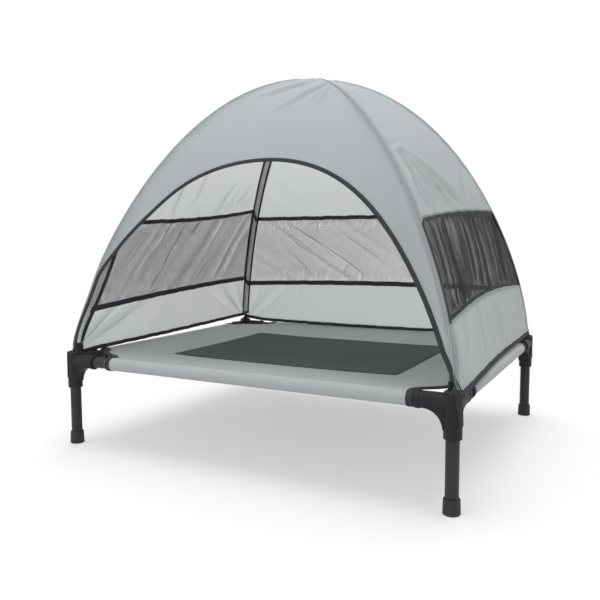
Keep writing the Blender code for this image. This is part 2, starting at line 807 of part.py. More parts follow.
def window_folds(across, share):
    """Upright folds of the slack mesh."""
    wave = np.sin(across * math.pi * 15) * 0.5 + 0.5
    return WINDOW_FOLD_DEPTH * wave * np.sin(math.pi * across) ** 0.5 * np.sin(math.pi * share)


def make_side(side):
    """An upper panel, a mesh window, a lower panel and the tapes between them."""
    hem_line, window_low, window_top = (seam_line(side, seam) for seam in ("hem", "low", "top"))
    half = TAPE_WIDTH / 2
    edge = half + TOUCH_GAP
    top = POLE_BASE + CANOPY_HEIGHT * APEX_CUT
    cloth_sheet(
        f"canopy_{side}_upper",
        panel_between(side, lambda a: window_top(a) + edge, lambda a: top + 0 * a, 19, 9, folds=upper_folds),
        CANOPY_CLOTH,
        CANOPY_FABRIC,
    )
    cloth_sheet(
        f"canopy_{side}_window",
        panel_between(
            side, lambda a: window_low(a) + edge, lambda a: window_top(a) - edge, 31, 4, folds=window_folds
        ),
        MESH_CLOTH,
        WINDOW_MESH,
    )
    cloth_sheet(
        f"canopy_{side}_lower",
        panel_between(side, lambda a: hem_line(a) + edge, lambda a: window_low(a) - edge, 17, 4),
        CANOPY_CLOTH,
        CANOPY_FABRIC,
    )
    tapes = (("top_tape", window_top, 13), ("low_tape", window_low, 13), ("hem_tape", hem_line, 17))
    for name, line, columns in tapes:
        cloth_sheet(
            f"canopy_{side}_{name}",
            panel_between(
                side, lambda a: line(a) - half, lambda a: line(a) + half, columns, 2, inset=TAPE_INSET
            ),
            TAPE_THICKNESS,
            TAPE,
        )


def door_arch(around, spread=0.0):
    """The door's outline in the front's x and z. around runs from -1 to 1, and spread moves it outwards."""
    height = 1 - around**2
    level = DOOR_HALF_WIDTH * (1 - height**DOOR_RISE_POWER) ** (1 / DOOR_SPREAD_POWER)
    x = np.sign(around) * level
    z = POLE_BASE + FRONT_HEM + (DOOR_TOP - FRONT_HEM) * height
    step_x, step_z = np.gradient(x), np.gradient(z)
    size = np.hypot(step_x, step_z)
    return np.stack([x - step_z / size * spread, z + step_x / size * spread], axis=-1)


def on_front(x, z):
    """Points of the front's surface above x and z."""
    height = height_share(z)
    left, right = (ridge_points(corner, height) for corner in SIDES["front"])
    across = (x - left[..., 0]) / np.maximum(right[..., 0] - left[..., 0], 1e-6)
    return skin("front", across, height)


def front_outer(around):
    """The front panel's outer edge along both ridges, from the hem to the apex and down again."""
    base = FRONT_HEM / CANOPY_HEIGHT
    height = base + (APEX_CUT - base) * (1 - around**2)
    left, right = (ridge_points(corner, height) for corner in SIDES["front"])
    x = np.where(around < 0, left[..., 0] + RIDGE_INSET, right[..., 0] - RIDGE_INSET)
    middle = (left[..., 0] + right[..., 0]) / 2
    x = np.where(np.abs(around) < 1e-9, middle, x)
    return np.stack([x, POLE_BASE + CANOPY_HEIGHT * height], axis=-1)


def make_front():
    """The front panel round the door, and the tape that binds the door's arch."""
    around = np.linspace(-1.0, 1.0, 41)
    half = TAPE_WIDTH / 2
    share = np.linspace(0.0, 1.0, 7)[:, None, None]
    inner = door_arch(around, half + TOUCH_GAP)
    outer = front_outer(around)
    flat = inner + (outer - inner) * share
    cloth_sheet(
        "canopy_front_panel", on_front(flat[..., 0], flat[..., 1])[::-1], CANOPY_CLOTH, CANOPY_FABRIC
    )
    tape = np.stack([door_arch(around, half), door_arch(around, -half)])
    cloth_sheet("door_arch_tape", on_front(tape[..., 0], tape[..., 1]), TAPE_THICKNESS, TAPE)


def make_corner_strap(corner, side_x, side_y):
    """A webbing strap from the canopy's corner down the outside of the connector."""
    inner = SOCKET_R + TOUCH_GAP + STRAP_THICKNESS / 2
    bottom = SOCKET_BOTTOM + STRAP_BOTTOM_ABOVE_SOCKET
    path = [(inner, bottom), (inner, CONNECTOR_TOP - STRAP_SHORT)]
    if corner not in OUTER_CORNERS:
        over = CONNECTOR_TOP + TOUCH_GAP + STRAP_THICKNESS / 2
        path[-1] = (inner, CONNECTOR_TOP - TOP_CHAMFER + TOUCH_GAP)
        path += [(inner - TOP_CHAMFER, over), (inner - TOP_CHAMFER - STRAP_TUCK, over)]
    middle = Vector((side_x * LEG_X, side_y * LEG_Y, 0.0))
    away = Vector((side_x, side_y, 0.0)).normalized()
    width = Vector((-away.y, away.x, 0.0)) * STRAP_WIDTH / 2
    rows = []
    for level, z in path:
        spot = middle + away * level + Vector((0.0, 0.0, z))
        rows.append([tuple(spot - width), tuple(spot + width)])
    cloth_sheet(f"corner_strap_{corner}", np.array(rows), STRAP_THICKNESS, TAPE)


def make_canopy():
    for corner, (side_x, side_y) in CORNERS.items():
        lower = corner in ("front_right", "rear_left")
        make_pole_sleeve(corner, lower)
        make_pole_tip(corner, side_x, side_y)
        make_corner_strap(corner, side_x, side_y)
    make_pole("upper_pole", "front_left", "rear_right", False)
    make_pole("lower_pole", "front_right", "rear_left", True)
    make_front()
    for side in ("left", "right", "rear"):
        make_side(side)


for corner_name, (sign_x, sign_y) in CORNERS.items():
    make_leg(corner_name, sign_x, sign_y)
    make_foot_cap(corner_name, sign_x, sign_y)
make_rails()
make_connectors()
make_bed()
make_canopy()
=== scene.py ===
# %% [markdown]
# # A raised pet cot with a canopy
#
# The cot is a bed of cloth stretched on a frame of steel tubes, with moulded corners and short
# legs. Two bent poles stand in the corners and cross over the bed, and a canopy of thin cloth hangs
# on them: four gores meet in ridges over the poles, the front one has a door arch, and the other
# three have windows of net.
#
# The rigid parts come ready from the CAD model and only need a finish. All the cloth is made again
# here, fine enough to show its folds, seams and bindings.

import math

import bpy
import numpy as np
from mathutils import Matrix, Vector


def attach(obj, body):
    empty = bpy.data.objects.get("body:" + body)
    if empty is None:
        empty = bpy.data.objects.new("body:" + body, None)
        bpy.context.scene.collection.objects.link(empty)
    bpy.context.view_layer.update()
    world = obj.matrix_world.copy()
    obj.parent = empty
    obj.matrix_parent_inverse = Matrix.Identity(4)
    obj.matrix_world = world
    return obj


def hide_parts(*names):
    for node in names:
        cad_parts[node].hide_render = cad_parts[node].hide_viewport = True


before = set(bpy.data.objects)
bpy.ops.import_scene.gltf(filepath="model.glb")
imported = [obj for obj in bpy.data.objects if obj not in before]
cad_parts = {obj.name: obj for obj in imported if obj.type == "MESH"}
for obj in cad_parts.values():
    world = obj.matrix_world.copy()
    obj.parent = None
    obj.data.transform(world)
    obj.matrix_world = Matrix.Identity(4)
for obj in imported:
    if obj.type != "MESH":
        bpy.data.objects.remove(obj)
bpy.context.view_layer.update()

# %% [markdown]
# ## Camera
#
# The photograph was taken from the right of the door, a little above the bed. The camera's place,
# turn and lens were solved from the legs, the bed's edges and the canopy's outline. Its three axes
# are written down as directions, because a matrix made of them can't be misread the way three turns
# can.

# %% Camera
CAMERA_PLACE = Vector((0.750, -1.491, 0.482))
CAMERA_TURN, CAMERA_DIP, CAMERA_ROLL = (math.radians(a) for a in (28.08, 5.12, -0.25))
FOCAL_PIXELS = 655.7
PICTURE_PIXELS = 600

ahead = Vector(
    (
        -math.sin(CAMERA_TURN) * math.cos(CAMERA_DIP),
        math.cos(CAMERA_TURN) * math.cos(CAMERA_DIP),
        -math.sin(CAMERA_DIP),
    )
)
level_right = Vector((math.cos(CAMERA_TURN), math.sin(CAMERA_TURN), 0.0))
level_up = level_right.cross(ahead)
right = level_right * math.cos(CAMERA_ROLL) + level_up * math.sin(CAMERA_ROLL)
up = level_up * math.cos(CAMERA_ROLL) - level_right * math.sin(CAMERA_ROLL)

camera_data = bpy.data.cameras.new("camera")
camera_data.sensor_width = 36.0
camera_data.lens = FOCAL_PIXELS / PICTURE_PIXELS * camera_data.sensor_width
camera = bpy.data.objects.new("camera", camera_data)
bpy.context.scene.collection.objects.link(camera)
camera_axes = Matrix((right, up, -ahead)).transposed().to_4x4()
camera.matrix_world = Matrix.Translation(CAMERA_PLACE) @ camera_axes
bpy.context.scene.camera = camera
bpy.context.scene.view_settings.view_transform = "Standard"
print(f"lens {camera_data.lens:.2f} mm")

# %% [markdown]
# ## Shader sums
#
# A finish is mostly sums on a few patterns, such as "half a grain and a little of the broad
# mottling". Written as nodes these are long, so one small class wraps a socket and lets Python's
# own signs build the Math nodes. The reflected forms are there so that `1 - mask` works as well as
# `mask - 1`.

# %% Sockets that can be added and multiplied
class Value:
    """One output socket of a material. Its sums with numbers or other values add Math nodes."""

    def __init__(self, finish, socket):
        self.finish = finish
        self.socket = socket

    def maths(self, operation, *inputs):
        return self.finish.node("ShaderNodeMath", {"operation": operation}, *inputs)

    def __add__(self, other):
        return self.maths("ADD", self, other)

    def __radd__(self, other):
        return self.maths("ADD", other, self)

    def __sub__(self, other):
        return self.maths("SUBTRACT", self, other)

    def __rsub__(self, other):
        return self.maths("SUBTRACT", other, self)

    def __mul__(self, other):
        return self.maths("MULTIPLY", self, other)

    def __rmul__(self, other):
        return self.maths("MULTIPLY", other, self)

    def __truediv__(self, other):
        return self.maths("DIVIDE", self, other)

    def below(self, other):
        return self.maths("LESS_THAN", self, other)

    def least(self, other):
        return self.maths("MINIMUM", self, other)

    def most(self, other):
        return self.maths("MAXIMUM", self, other)


class Finish:
    """A material whose nodes are all made by one method."""

    def __init__(self, name, **constants):
        self.material = bpy.data.materials.new(name)
        self.material.use_nodes = True
        self.tree = self.material.node_tree
        self.shader = self.tree.nodes["Principled BSDF"]
        self.output = self.tree.nodes["Material Output"]
        for socket, value in constants.items():
            self.set(socket.replace("_", " "), value)

    def set(self, socket, value):
        self.connect(self.shader.inputs[socket], value)

    def connect(self, socket, value):
        if isinstance(value, Value):
            self.tree.links.new(value.socket, socket)
        else:
            socket.default_value = value

    def node(self, kind, settings=None, *inputs, output=0, **named):
        """A node of a kind with its settings.

        Values or links for its sockets come by order or by name.
        """
        made = self.tree.nodes.new(kind)
        for key, value in (settings or {}).items():
            if key == "stops":
                ramp = made.color_ramp
                while len(ramp.elements) < len(value):
                    ramp.elements.new(0.5)
                for element, (place, colour) in zip(ramp.elements, value):
                    element.position = place
                    element.color = (*colour, 1.0)
            else:
                setattr(made, key, value)
        for index, value in enumerate(inputs):
            if value is not None:
                self.connect(made.inputs[index], value)
        for key, value in named.items():
            self.connect(made.inputs[key.replace("_", " ")], value)
        return Value(self, made.outputs[output])

    def place(self):
        """The object's own coordinates, in metres."""
        return self.node("ShaderNodeTexCoord", output="Object")

    def cloth_place(self):
        """The piece's own flat coordinates, in metres along and up the cloth."""
        return self.node("ShaderNodeUVMap", {"uv_map": "cloth"})

    def noise(self, scale, place, detail=3.0, roughness=0.55):
        sockets = {"Vector": place, "Scale": scale, "Detail": detail, "Roughness": roughness}
        return self.node("ShaderNodeTexNoise", None, **sockets)

    def blend(self, amount, first, second):
        """A colour between two colours."""
        made = self.node("ShaderNodeMix", {"data_type": "RGBA"}, amount, output=2)
        mixer = made.socket.node
        self.connect(mixer.inputs[6], first if isinstance(first, Value) else (*first, 1.0))
        self.connect(mixer.inputs[7], second if isinstance(second, Value) else (*second, 1.0))
        return made

    def bump(self, height, strength, distance):
        self.set(
            "Normal",
            self.node("ShaderNodeBump", None, Height=height, Strength=strength, Distance=distance),
        )


print("shader helpers ready")

# %% [markdown]
# ## Rigid finishes
#
# The tubes are steel with a baked powder coat, which is satin with a very fine orange peel. The
# corners are moulded in black plastic with a fine spark-eroded grain, and the foot caps are a
# plainer, duller plastic. Each is a dark base colour with two sizes of noise: a broad one for
# colour and shine, a fine one for the grain.

# %% Coated steel, moulded plastic, fibreglass and metal
def coated_steel():
    finish = Finish("coated_steel", Metallic=0.0, IOR=1.5, Specular_IOR_Level=0.32)
    place = finish.place()
    broad = finish.noise(14.0, place)
    peel = finish.noise(900.0, place, detail=1.0)
    rub = finish.noise(60.0, place, detail=5.0, roughness=0.7)
    finish.set("Base Color", finish.blend(broad, (0.019, 0.021, 0.023), (0.027, 0.029, 0.032)))
    finish.set("Roughness", 0.36 + broad * 0.10 + rub * 0.06)
    finish.bump(peel, 0.25, 0.0003)
    return finish.material


def moulded_plastic(name, dark, light, roughness, grain):
    """Dull plastic between two tones, with a grain of so many specks to the metre."""
    finish = Finish(name, IOR=1.46, Specular_IOR_Level=0.30)
    place = finish.place()
    broad = finish.noise(22.0, place)
    fine = finish.noise(grain, place, detail=2.0, roughness=0.6)
    scuff = finish.noise(120.0, place, detail=6.0, roughness=0.75)
    finish.set("Base Color", finish.blend(broad * 0.6 + scuff * 0.4, dark, light))
    finish.set("Roughness", roughness + scuff * 0.12 - broad * 0.05)
    finish.bump(fine, 0.45, 0.0004)
    return finish.material


def smooth_rod():
    finish = Finish("fibreglass", Coat_Roughness=0.2, IOR=1.5)
    place = finish.place()
    streak = finish.noise(300.0, place, detail=2.0)
    finish.set("Base Color", finish.blend(streak, (0.020, 0.020, 0.022), (0.040, 0.040, 0.043)))
    finish.set("Roughness", 0.30 + streak * 0.12)
    return finish.material


def ferrule_metal():
    finish = Finish("ferrule_metal", Metallic=1.0)
    streak = finish.noise(240.0, finish.place(), detail=4.0)
    finish.set("Base Color", finish.blend(streak, (0.52, 0.52, 0.54), (0.66, 0.66, 0.68)))
    finish.set("Roughness", 0.24 + streak * 0.2)
    return finish.material


STEEL = coated_steel()
CORNER_PLASTIC = moulded_plastic(
    "corner_plastic", (0.010, 0.010, 0.012), (0.017, 0.017, 0.020), roughness=0.50, grain=1400.0
)
FOOT_PLASTIC = moulded_plastic(
    "foot_plastic", (0.028, 0.029, 0.033), (0.042, 0.043, 0.048), roughness=0.55, grain=900.0
)
ROD = smooth_rod()
FERRULE = ferrule_metal()

FINISH_BY_NODE = {
    "leg_": STEEL,
    "foot_cap_": FOOT_PLASTIC,
    "corner_connector_": CORNER_PLASTIC,
    "front_rail": STEEL,
    "rear_rail": STEEL,
    "left_rail": STEEL,
    "right_rail": STEEL,
    "upper_pole_": ROD,
    "lower_pole_": ROD,
    "pole_tip_": CORNER_PLASTIC,
}
finished = 0
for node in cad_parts:
    for start, material in FINISH_BY_NODE.items():
        if node.startswith(start):
            chosen = FERRULE if "ferrule" in node else material
            cad = bpy.data.objects[node]
            cad.data.materials.clear()
            cad.data.materials.append(chosen)
            finished += 1
print(finished, "rigid nodes finished")

# %% [markdown]
# ## Cloth finishes
#
# The canopy is thin coated polyester. It lets a good part of the light through, which is why the
# inside of the real one is nearly as bright as the outside. A Principled shader alone stays dark
# inside, so it is mixed with a Translucent one. The sheet is a closed shell, so light passes two
# such faces, and each is more see-through than the cloth as a whole.
#
# The net's holes are about a millimetre, far under a pixel, so they are a pattern in Alpha: threads
# run both ways on the piece's own flat coordinates, and between them the sheet isn't there.

# %% Canopy cloth
CANOPY_WEAVE, NET_PITCH, NET_SLANT, RIB_PITCH = 0.0011, 0.0016, 0.6, 0.0012


def woven(finish, pitch):
    """Height of a plain weave: two sine ridges that cross, over and under."""
    place = finish.cloth_place()
    parts = finish.node("ShaderNodeSeparateXYZ", None, place)
    across = Value(finish, parts.socket.node.outputs[0]) * (math.pi / pitch)
    along = Value(finish, parts.socket.node.outputs[1]) * (math.pi / pitch)
    return across.maths("SINE", across) * along.maths("SINE", along)


def canopy_cloth(name, dark, light, through_colour, share):
    """Coated cloth. A share of the light goes through it, and the rest is thrown back.

    In a fold's valley shade is painted: the cloth is drawn darker there and lets less light through.
    """
    finish = Finish(name, Roughness=0.62, IOR=1.45)
    crease = finish.node("ShaderNodeAttribute", {"attribute_name": "crease"}, output="Fac")
    place = finish.place()
    broad = finish.noise(5.0, place, detail=4.0)
    slub = finish.noise(90.0, place, detail=4.0, roughness=0.7)
    weave = woven(finish, CANOPY_WEAVE)
    plain = finish.blend(broad * 0.55 + slub * 0.45, dark, light)
    # Painted shade: in a fold's valley the colour goes towards half the dark tone
    finish.set("Base Color", finish.blend(crease * 0.55, plain, [value * 0.5 for value in dark]))
    finish.set("Roughness", 0.55 + slub * 0.18)
    finish.bump(weave * 0.5 + slub * 0.5, 0.25, 0.0004)
    through = finish.node("ShaderNodeBsdfTranslucent", None, (*through_colour, 1.0))
    # Painted shade too: less light goes through the cloth in a fold's valley
    mixed = finish.node("ShaderNodeMixShader", None, (1 - crease * 0.62) * share)
    finish.tree.links.new(finish.shader.outputs[0], mixed.socket.node.inputs[1])
    finish.tree.links.new(through.socket, mixed.socket.node.inputs[2])
    finish.tree.links.new(mixed.socket, finish.output.inputs["Surface"])
    return finish.material


CANOPY_CLOTH = canopy_cloth(
    "canopy_cloth", (0.60, 0.655, 0.68), (0.67, 0.72, 0.745), (0.870, 0.872, 0.864), share=0.66
)
SLEEVE_CLOTH = canopy_cloth(
    "sleeve_cloth", (0.80, 0.82, 0.83), (0.86, 0.87, 0.88), (0.95, 0.95, 0.94), share=0.45
)
# A darker copy of the canopy cloth for the ridge cords: painted shadow along the felled seams
SEAM_SHADE = canopy_cloth(
    "seam_shade", (0.33, 0.355, 0.37), (0.41, 0.435, 0.45), (0.50, 0.51, 0.52), share=0.30
)
print("canopy cloths ready")

# %% Window net
def window_net():
    """Threads in two slanting directions, with holes between them.

    A thread's half width is a share of its pitch: the closeness that is stored on the net's points.
    """
    finish = Finish("window_net", Roughness=0.7, Specular_IOR_Level=0.12)
    place = finish.cloth_place()
    parts = finish.node("ShaderNodeSeparateXYZ", None, place)
    across = Value(finish, parts.socket.node.outputs[0])
    along = Value(finish, parts.socket.node.outputs[1])
    slants = [(across + along * NET_SLANT) / NET_PITCH, (across - along * NET_SLANT) / NET_PITCH]
    waves = [finish.node("ShaderNodeMath", {"operation": "PINGPONG"}, s, 0.5) for s in slants]
    nearest = waves[0].least(waves[1])
    closeness = finish.node("ShaderNodeAttribute", {"attribute_name": "closeness"}, output="Fac")
    tone = finish.noise(60.0, finish.place())
    finish.set("Base Color", finish.blend(tone, (0.040, 0.041, 0.046), (0.070, 0.072, 0.080)))
    finish.set("Alpha", nearest.below(closeness))
    return finish.material


WINDOW_NET = window_net()
print("net threads every", NET_PITCH * 1000, "mm")

# %% Tape, bed cloth and the dark panel
def ribbed_tape():
    """Grosgrain: fine ribs across the tape, a little lighter on their tops."""
    finish = Finish("ribbed_tape", IOR=1.45, Specular_IOR_Level=0.18)
    place = finish.cloth_place()
    parts = finish.node("ShaderNodeSeparateXYZ", None, place)
    along = Value(finish, parts.socket.node.outputs[0]) * (2 * math.pi / RIB_PITCH)
    rib = along.maths("SINE", along) * 0.5 + 0.5
    tone = finish.noise(40.0, finish.place(), detail=4.0)
    rib_and_tone = tone * 0.7 + rib * 0.3
    finish.set("Base Color", finish.blend(rib_and_tone, (0.030, 0.033, 0.037), (0.062, 0.067, 0.073)))
    finish.set("Roughness", 0.72 + tone * 0.12)
    finish.bump(rib, 0.3, 0.0003)
    return finish.material


def bed_cloth(name, dark, light, pitch, bump):
    """Heavy plain weave between two tones, with slubs."""
    finish = Finish(name, IOR=1.48)
    place = finish.place()
    broad = finish.noise(7.0, place, detail=5.0)
    slub = finish.noise(160.0, place, detail=5.0, roughness=0.7)
    weave = woven(finish, pitch)
    finish.set("Base Color", finish.blend(broad * 0.4 + slub * 0.4 + weave * 0.2, dark, light))
    finish.set("Roughness", 0.62 + slub * 0.15)
    finish.bump(weave * 0.6 + slub * 0.4, bump, 0.0006)
    return finish.material


TAPE = ribbed_tape()
BED_CLOTH = bed_cloth(
    "bed_cloth", (0.40, 0.425, 0.43), (0.50, 0.52, 0.525), pitch=0.0013, bump=0.35
)
DARK_CLOTH = bed_cloth(
    "dark_panel_cloth", (0.050, 0.057, 0.060), (0.082, 0.091, 0.094), pitch=0.0022, bump=0.55
)
# Sewing thread shines like a dull plastic, so it takes that finish with a very fine grain
PALE_THREAD = moulded_plastic(
    "pale_thread", (0.34, 0.36, 0.37), (0.46, 0.48, 0.49), roughness=0.7, grain=2500.0
)
DARK_THREAD = moulded_plastic(
    "dark_thread", (0.030, 0.032, 0.035), (0.060, 0.063, 0.068), roughness=0.7, grain=2500.0
)
print("cloth finishes ready")

# %% [markdown]
# ## Making cloth from arrays
#
# Every sheet here is a grid of points, rows by columns, worked out in one sum and put into a mesh
# in one go. A flat map in metres goes with it, so that the weave keeps its size and doesn't stretch
# over the folds. The sheet then gets its thickness half to each side from Solidify, which also
# closes its edges.

# %% Grids
CANOPY_BODY, FRAME_BODY = "canopy", "frame"
CLOTH_THICK, THIN_THICK, BED_THICK = 0.0008, 0.0006, 0.0012
# A point inside the canopy, which its cloth faces away from
DOME_MIDDLE = (0, 0, 0.4)


def lengths(points, axis):
    """Running length along one axis of a grid of points, from 0."""
    steps = np.linalg.norm(np.diff(points, axis=axis), axis=-1)
    start = np.zeros_like(np.take(steps, [0], axis=axis))
    return np.concatenate([start, np.cumsum(steps, axis=axis)], axis=axis)


def normals_of(points):
    """Unit normals of a grid: the cross product of its two sets of differences."""
    down, across = np.gradient(points, axis=0), np.gradient(points, axis=1)
    normal = np.cross(across, down)
    size = np.linalg.norm(normal, axis=-1, keepdims=True)
    return normal / np.maximum(size, 1e-12)


def grid_mesh(name, points, flat=None, loop=False):
    """A mesh of four-sided faces on a grid of points, with the flat map named cloth, in metres.

    With loop, the last column is joined to the first.
    """
    rows, columns = points.shape[:2]
    index = np.arange(rows * columns).reshape(rows, columns)
    if loop:
        index = np.concatenate([index, index[:, :1]], axis=1)
    faces = np.stack([index[:-1, :-1], index[:-1, 1:], index[1:, 1:], index[1:, :-1]], axis=-1)
    mesh = bpy.data.meshes.new(name)
    mesh.from_pydata(points.reshape(-1, 3).tolist(), [], faces.reshape(-1, 4).tolist())
    if flat is None:
        flat = np.stack([lengths(points, 1), lengths(points, 0)], axis=-1)
    layer = mesh.uv_layers.new(name="cloth")
    corner_vertex = np.empty(len(mesh.loops), dtype=np.int32)
    mesh.loops.foreach_get("vertex_index", corner_vertex)
    layer.data.foreach_set("uv", flat.reshape(-1, 2)[corner_vertex].astype(np.float32).ravel())
    mesh.shade_smooth()
    return mesh


def faces_outward(points, centre, *layers):
    """The grid with its columns turned round if its normals point towards the centre on the whole.

    The numbers of any layers on the points are turned with it.
    """
    away = points - np.asarray(centre)
    if np.sum(normals_of(points) * away) < 0:
        points, layers = points[:, ::-1], [layer[:, ::-1] for layer in layers]
    return (points, *layers) if layers else points


def dress(piece, material, body, nodes):
    """Gives a piece its finish, its body and the CAD nodes that it stands for."""
    bpy.context.scene.collection.objects.link(piece)
    piece.data.materials.append(material)
    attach(piece, body)
    if nodes:
        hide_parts(*nodes)
    return piece


def cloth_piece(
    name, points, thickness, material, body, nodes, slot, held, rests_on, cut=None, **layers
):
    """A sheet of cloth on a grid of points.

    The cut size is not used. Layers are numbers on the points, by name, for the finish to read.
    """
    piece = bpy.data.objects.new(name, grid_mesh(name, points))
    for title, values in layers.items():
        layer = piece.data.attributes.new(title, "FLOAT", "POINT")
        layer.data.foreach_set("value", np.asarray(values, dtype=np.float32).ravel())
    dress(piece, material, body, nodes)
    shell = piece.modifiers.new("thickness", "SOLIDIFY")
    shell.thickness = thickness
    shell.offset = 0.0
    first = np.cross(points[1:, 1:] - points[:-1, :-1], points[1:, :-1] - points[:-1, 1:])
    return piece


print("cloth helpers ready")

# %% [markdown]
# ## Bands that follow a line
#
# Bindings, tapes and straps are all the same thing: a flat section carried along a line that lies
# on the cloth. Each station of the line has the cloth's normal with it, and the section's width
# lies across both.

# %% Bands
def band_section(width, thickness, count=5):
    """A closed oblong with round ends, as (across, out) pairs.

    It is two half circles joined by straight sides.
    """
    turn = np.linspace(-math.pi / 2, math.pi / 2, count)
    end = np.stack([np.cos(turn), np.sin(turn)], axis=-1) * thickness / 2
    shift = np.array([width / 2 - thickness / 2, 0.0])
    return np.concatenate([end + shift, -end - shift])


def band(name, line, normals, section, material, body, nodes=(), closed=False):
    """The section carried along a line: each point is line + across * side + out * normal.

    side is the unit cross product of the line's direction and the normal.
    """
    if closed:
        ahead_step = np.roll(line, -1, axis=0) - np.roll(line, 1, axis=0)
    else:
        ahead_step = np.gradient(line, axis=0)
    ahead_step /= np.linalg.norm(ahead_step, axis=1, keepdims=True)
    side = np.cross(ahead_step, normals)
    side /= np.linalg.norm(side, axis=1, keepdims=True)
    out = np.cross(side, ahead_step)
    section = np.asarray(section)
    points = (
        line[:, None]
        + section[None, :, :1] * side[:, None]
        + section[None, :, 1:] * out[:, None]
    )
    count, corners = points.shape[:2]
    run = np.concatenate([[0.0], np.cumsum(np.linalg.norm(np.diff(line, axis=0), axis=1))])
    girth = np.concatenate([[0.0], np.cumsum(np.linalg.norm(np.diff(section, axis=0), axis=1))])
    flat = np.stack(np.broadcast_arrays(run[:, None], girth[None, :]), axis=-1)
    index = np.arange(count * corners).reshape(count, corners)
    ring = np.concatenate([index, index[:, :1]], axis=1)
    if closed:
        ring = np.concatenate([ring, ring[:1]])
    faces = np.stack([ring[:-1, :-1], ring[1:, :-1], ring[1:, 1:], ring[:-1, 1:]], axis=-1)
    faces = faces.reshape(-1, 4).tolist()
    if not closed:
        faces += [index[0].tolist(), index[-1][::-1].tolist()]
    mesh = bpy.data.meshes.new(name)
    mesh.from_pydata(points.reshape(-1, 3).tolist(), [], faces)
    layer = mesh.uv_layers.new(name="cloth")
    corner_vertex = np.empty(len(mesh.loops), dtype=np.int32)
    mesh.loops.foreach_get("vertex_index", corner_vertex)
    layer.data.foreach_set("uv", flat.reshape(-1, 2)[corner_vertex].astype(np.float32).ravel())
    mesh.shade_smooth()
    mesh.set_sharp_from_angle(angle=math.radians(50))
    return dress(bpy.data.objects.new(name, mesh), material, body, nodes)


print("band helper ready")

# %% [markdown]
# ## Stitches
#
# Every tape and seam is sewn down with a lockstitch, four millimetres from hole to hole. On the
# outside each stitch is a short length of thread that dives into the cloth at both ends. A metre of
# seam has 250 of them, so each is only a long bead of eight faces, and all the stitches of one row
# are one mesh.

# %% Rows of stitches
STITCH_PITCH, STITCH_LONG, STITCH_WIDE, STITCH_HIGH = 0.0040, 0.0029, 0.0007, 0.0006
BEAD_FACES = np.array(
    [(0, 2, 4), (2, 1, 4), (1, 3, 4), (3, 0, 4), (2, 0, 5), (1, 2, 5), (3, 1, 5), (0, 3, 5)]
)


def stitches(name, line, normals, body, shift=0.0, material=None):
    """A row of beads along a line, moved sideways by a shift.

    Each has its middle on the line, and corners half a length ahead and behind, half a width to each
    side and half a height up and down.
    """
    ahead_step = np.gradient(line, axis=0)
    ahead_step /= np.linalg.norm(ahead_step, axis=1, keepdims=True)
    side = np.cross(normals, ahead_step)
    side /= np.linalg.norm(side, axis=1, keepdims=True)
    moved = line + side * shift
    run = np.concatenate([[0.0], np.cumsum(np.linalg.norm(np.diff(moved, axis=0), axis=1))])
    places = np.arange(0.5 * STITCH_PITCH, run[-1], STITCH_PITCH)
    frames = [
        np.stack([np.interp(places, run, part[:, k]) for k in range(3)], axis=1)
        for part in (moved, ahead_step, side, normals)
    ]
    middle, *axes = frames
    sizes = (STITCH_LONG / 2, STITCH_WIDE / 2, STITCH_HIGH / 2)
    corners = [middle + sign * size * axis for axis, size in zip(axes, sizes) for sign in (1, -1)]
    points = np.stack(corners, axis=1).reshape(-1, 3)
    faces = (BEAD_FACES[None] + 6 * np.arange(len(places))[:, None, None]).reshape(-1, 3)
    mesh = bpy.data.meshes.new(name)
    mesh.from_pydata(points.tolist(), [], faces.tolist())
    mesh.shade_smooth()
    return dress(bpy.data.objects.new(name, mesh), material or DARK_THREAD, body, ())


print("a row of one metre has", int(1 / STITCH_PITCH), "stitches")

# %% [markdown]
# ## The canopy's shape
#
# The poles bend in two upright planes that cross over the middle, so each ridge stays in its own
# plane. Its distance from the middle is (1 - height ** rise) ** (1 / spread), both taken as shares,
# with a rise and a spread for each corner, because the photographed canopy leans a little. Between
# two ridges the cloth is ruled with level lines, which is how a stretched gore really lies, and
# pulled in a little in its middle. Below the poles' feet two of the corners are pulled outwards,
# over their connectors.

# %% Ridges and gores
LEG_X, LEG_Y = 0.457, 0.376
POLE_X, POLE_Y = LEG_X - 0.006, LEG_Y - 0.006
POLE_REACH = math.hypot(POLE_X, POLE_Y)
POLE_BASE, CANOPY_HEIGHT = 0.240, 0.642
CANOPY_TOP = POLE_BASE + CANOPY_HEIGHT
RIDGE_OFFSET = 0.011
PANEL_SAG = 0.007
RIDGE_SHAPE = {
    "front_left": (1.26, 2.05),
    "front_right": (1.58, 1.41),
    "rear_left": (1.43, 2.20),
    "rear_right": (1.43, 2.20),
}
CORNER_FLARE = {"front_left": 0.0, "front_right": 0.0115, "rear_left": 0.0, "rear_right": 0.0060}
CORNERS = {
    "front_left": (-1, -1),
    "front_right": (1, -1),
    "rear_left": (-1, 1),
    "rear_right": (1, 1),
}
SIDES = {
    "front": ("front_left", "front_right"),
    "right": ("front_right", "rear_right"),
    "rear": ("rear_right", "rear_left"),
    "left": ("rear_left", "front_left"),
}
WINDOW_SIDES = ("left", "right", "rear")
LOWER_POLE_CORNERS = ("front_right", "rear_left")
OUT = {"front": (0, -1, 0), "right": (1, 0, 0), "rear": (0, 1, 0), "left": (-1, 0, 0)}


def ridge_out(corner):
    """The level direction from the middle to a corner's pole."""
    side_x, side_y = CORNERS[corner]
    return np.array([side_x * POLE_X, side_y * POLE_Y, 0.0]) / POLE_REACH


def ridge_points(corner, height):
    """The cloth's ridge at heights given as shares from the poles' bases to the top."""
    rise, spread = RIDGE_SHAPE[corner]
    height = np.asarray(height, float)
    share = (1 - np.clip(height, 0.0, 1.0) ** rise) ** (1 / spread)
    points = (POLE_REACH + RIDGE_OFFSET) * share[..., None] * ridge_out(corner)
    points[..., 2] = POLE_BASE + CANOPY_HEIGHT * height
    return points


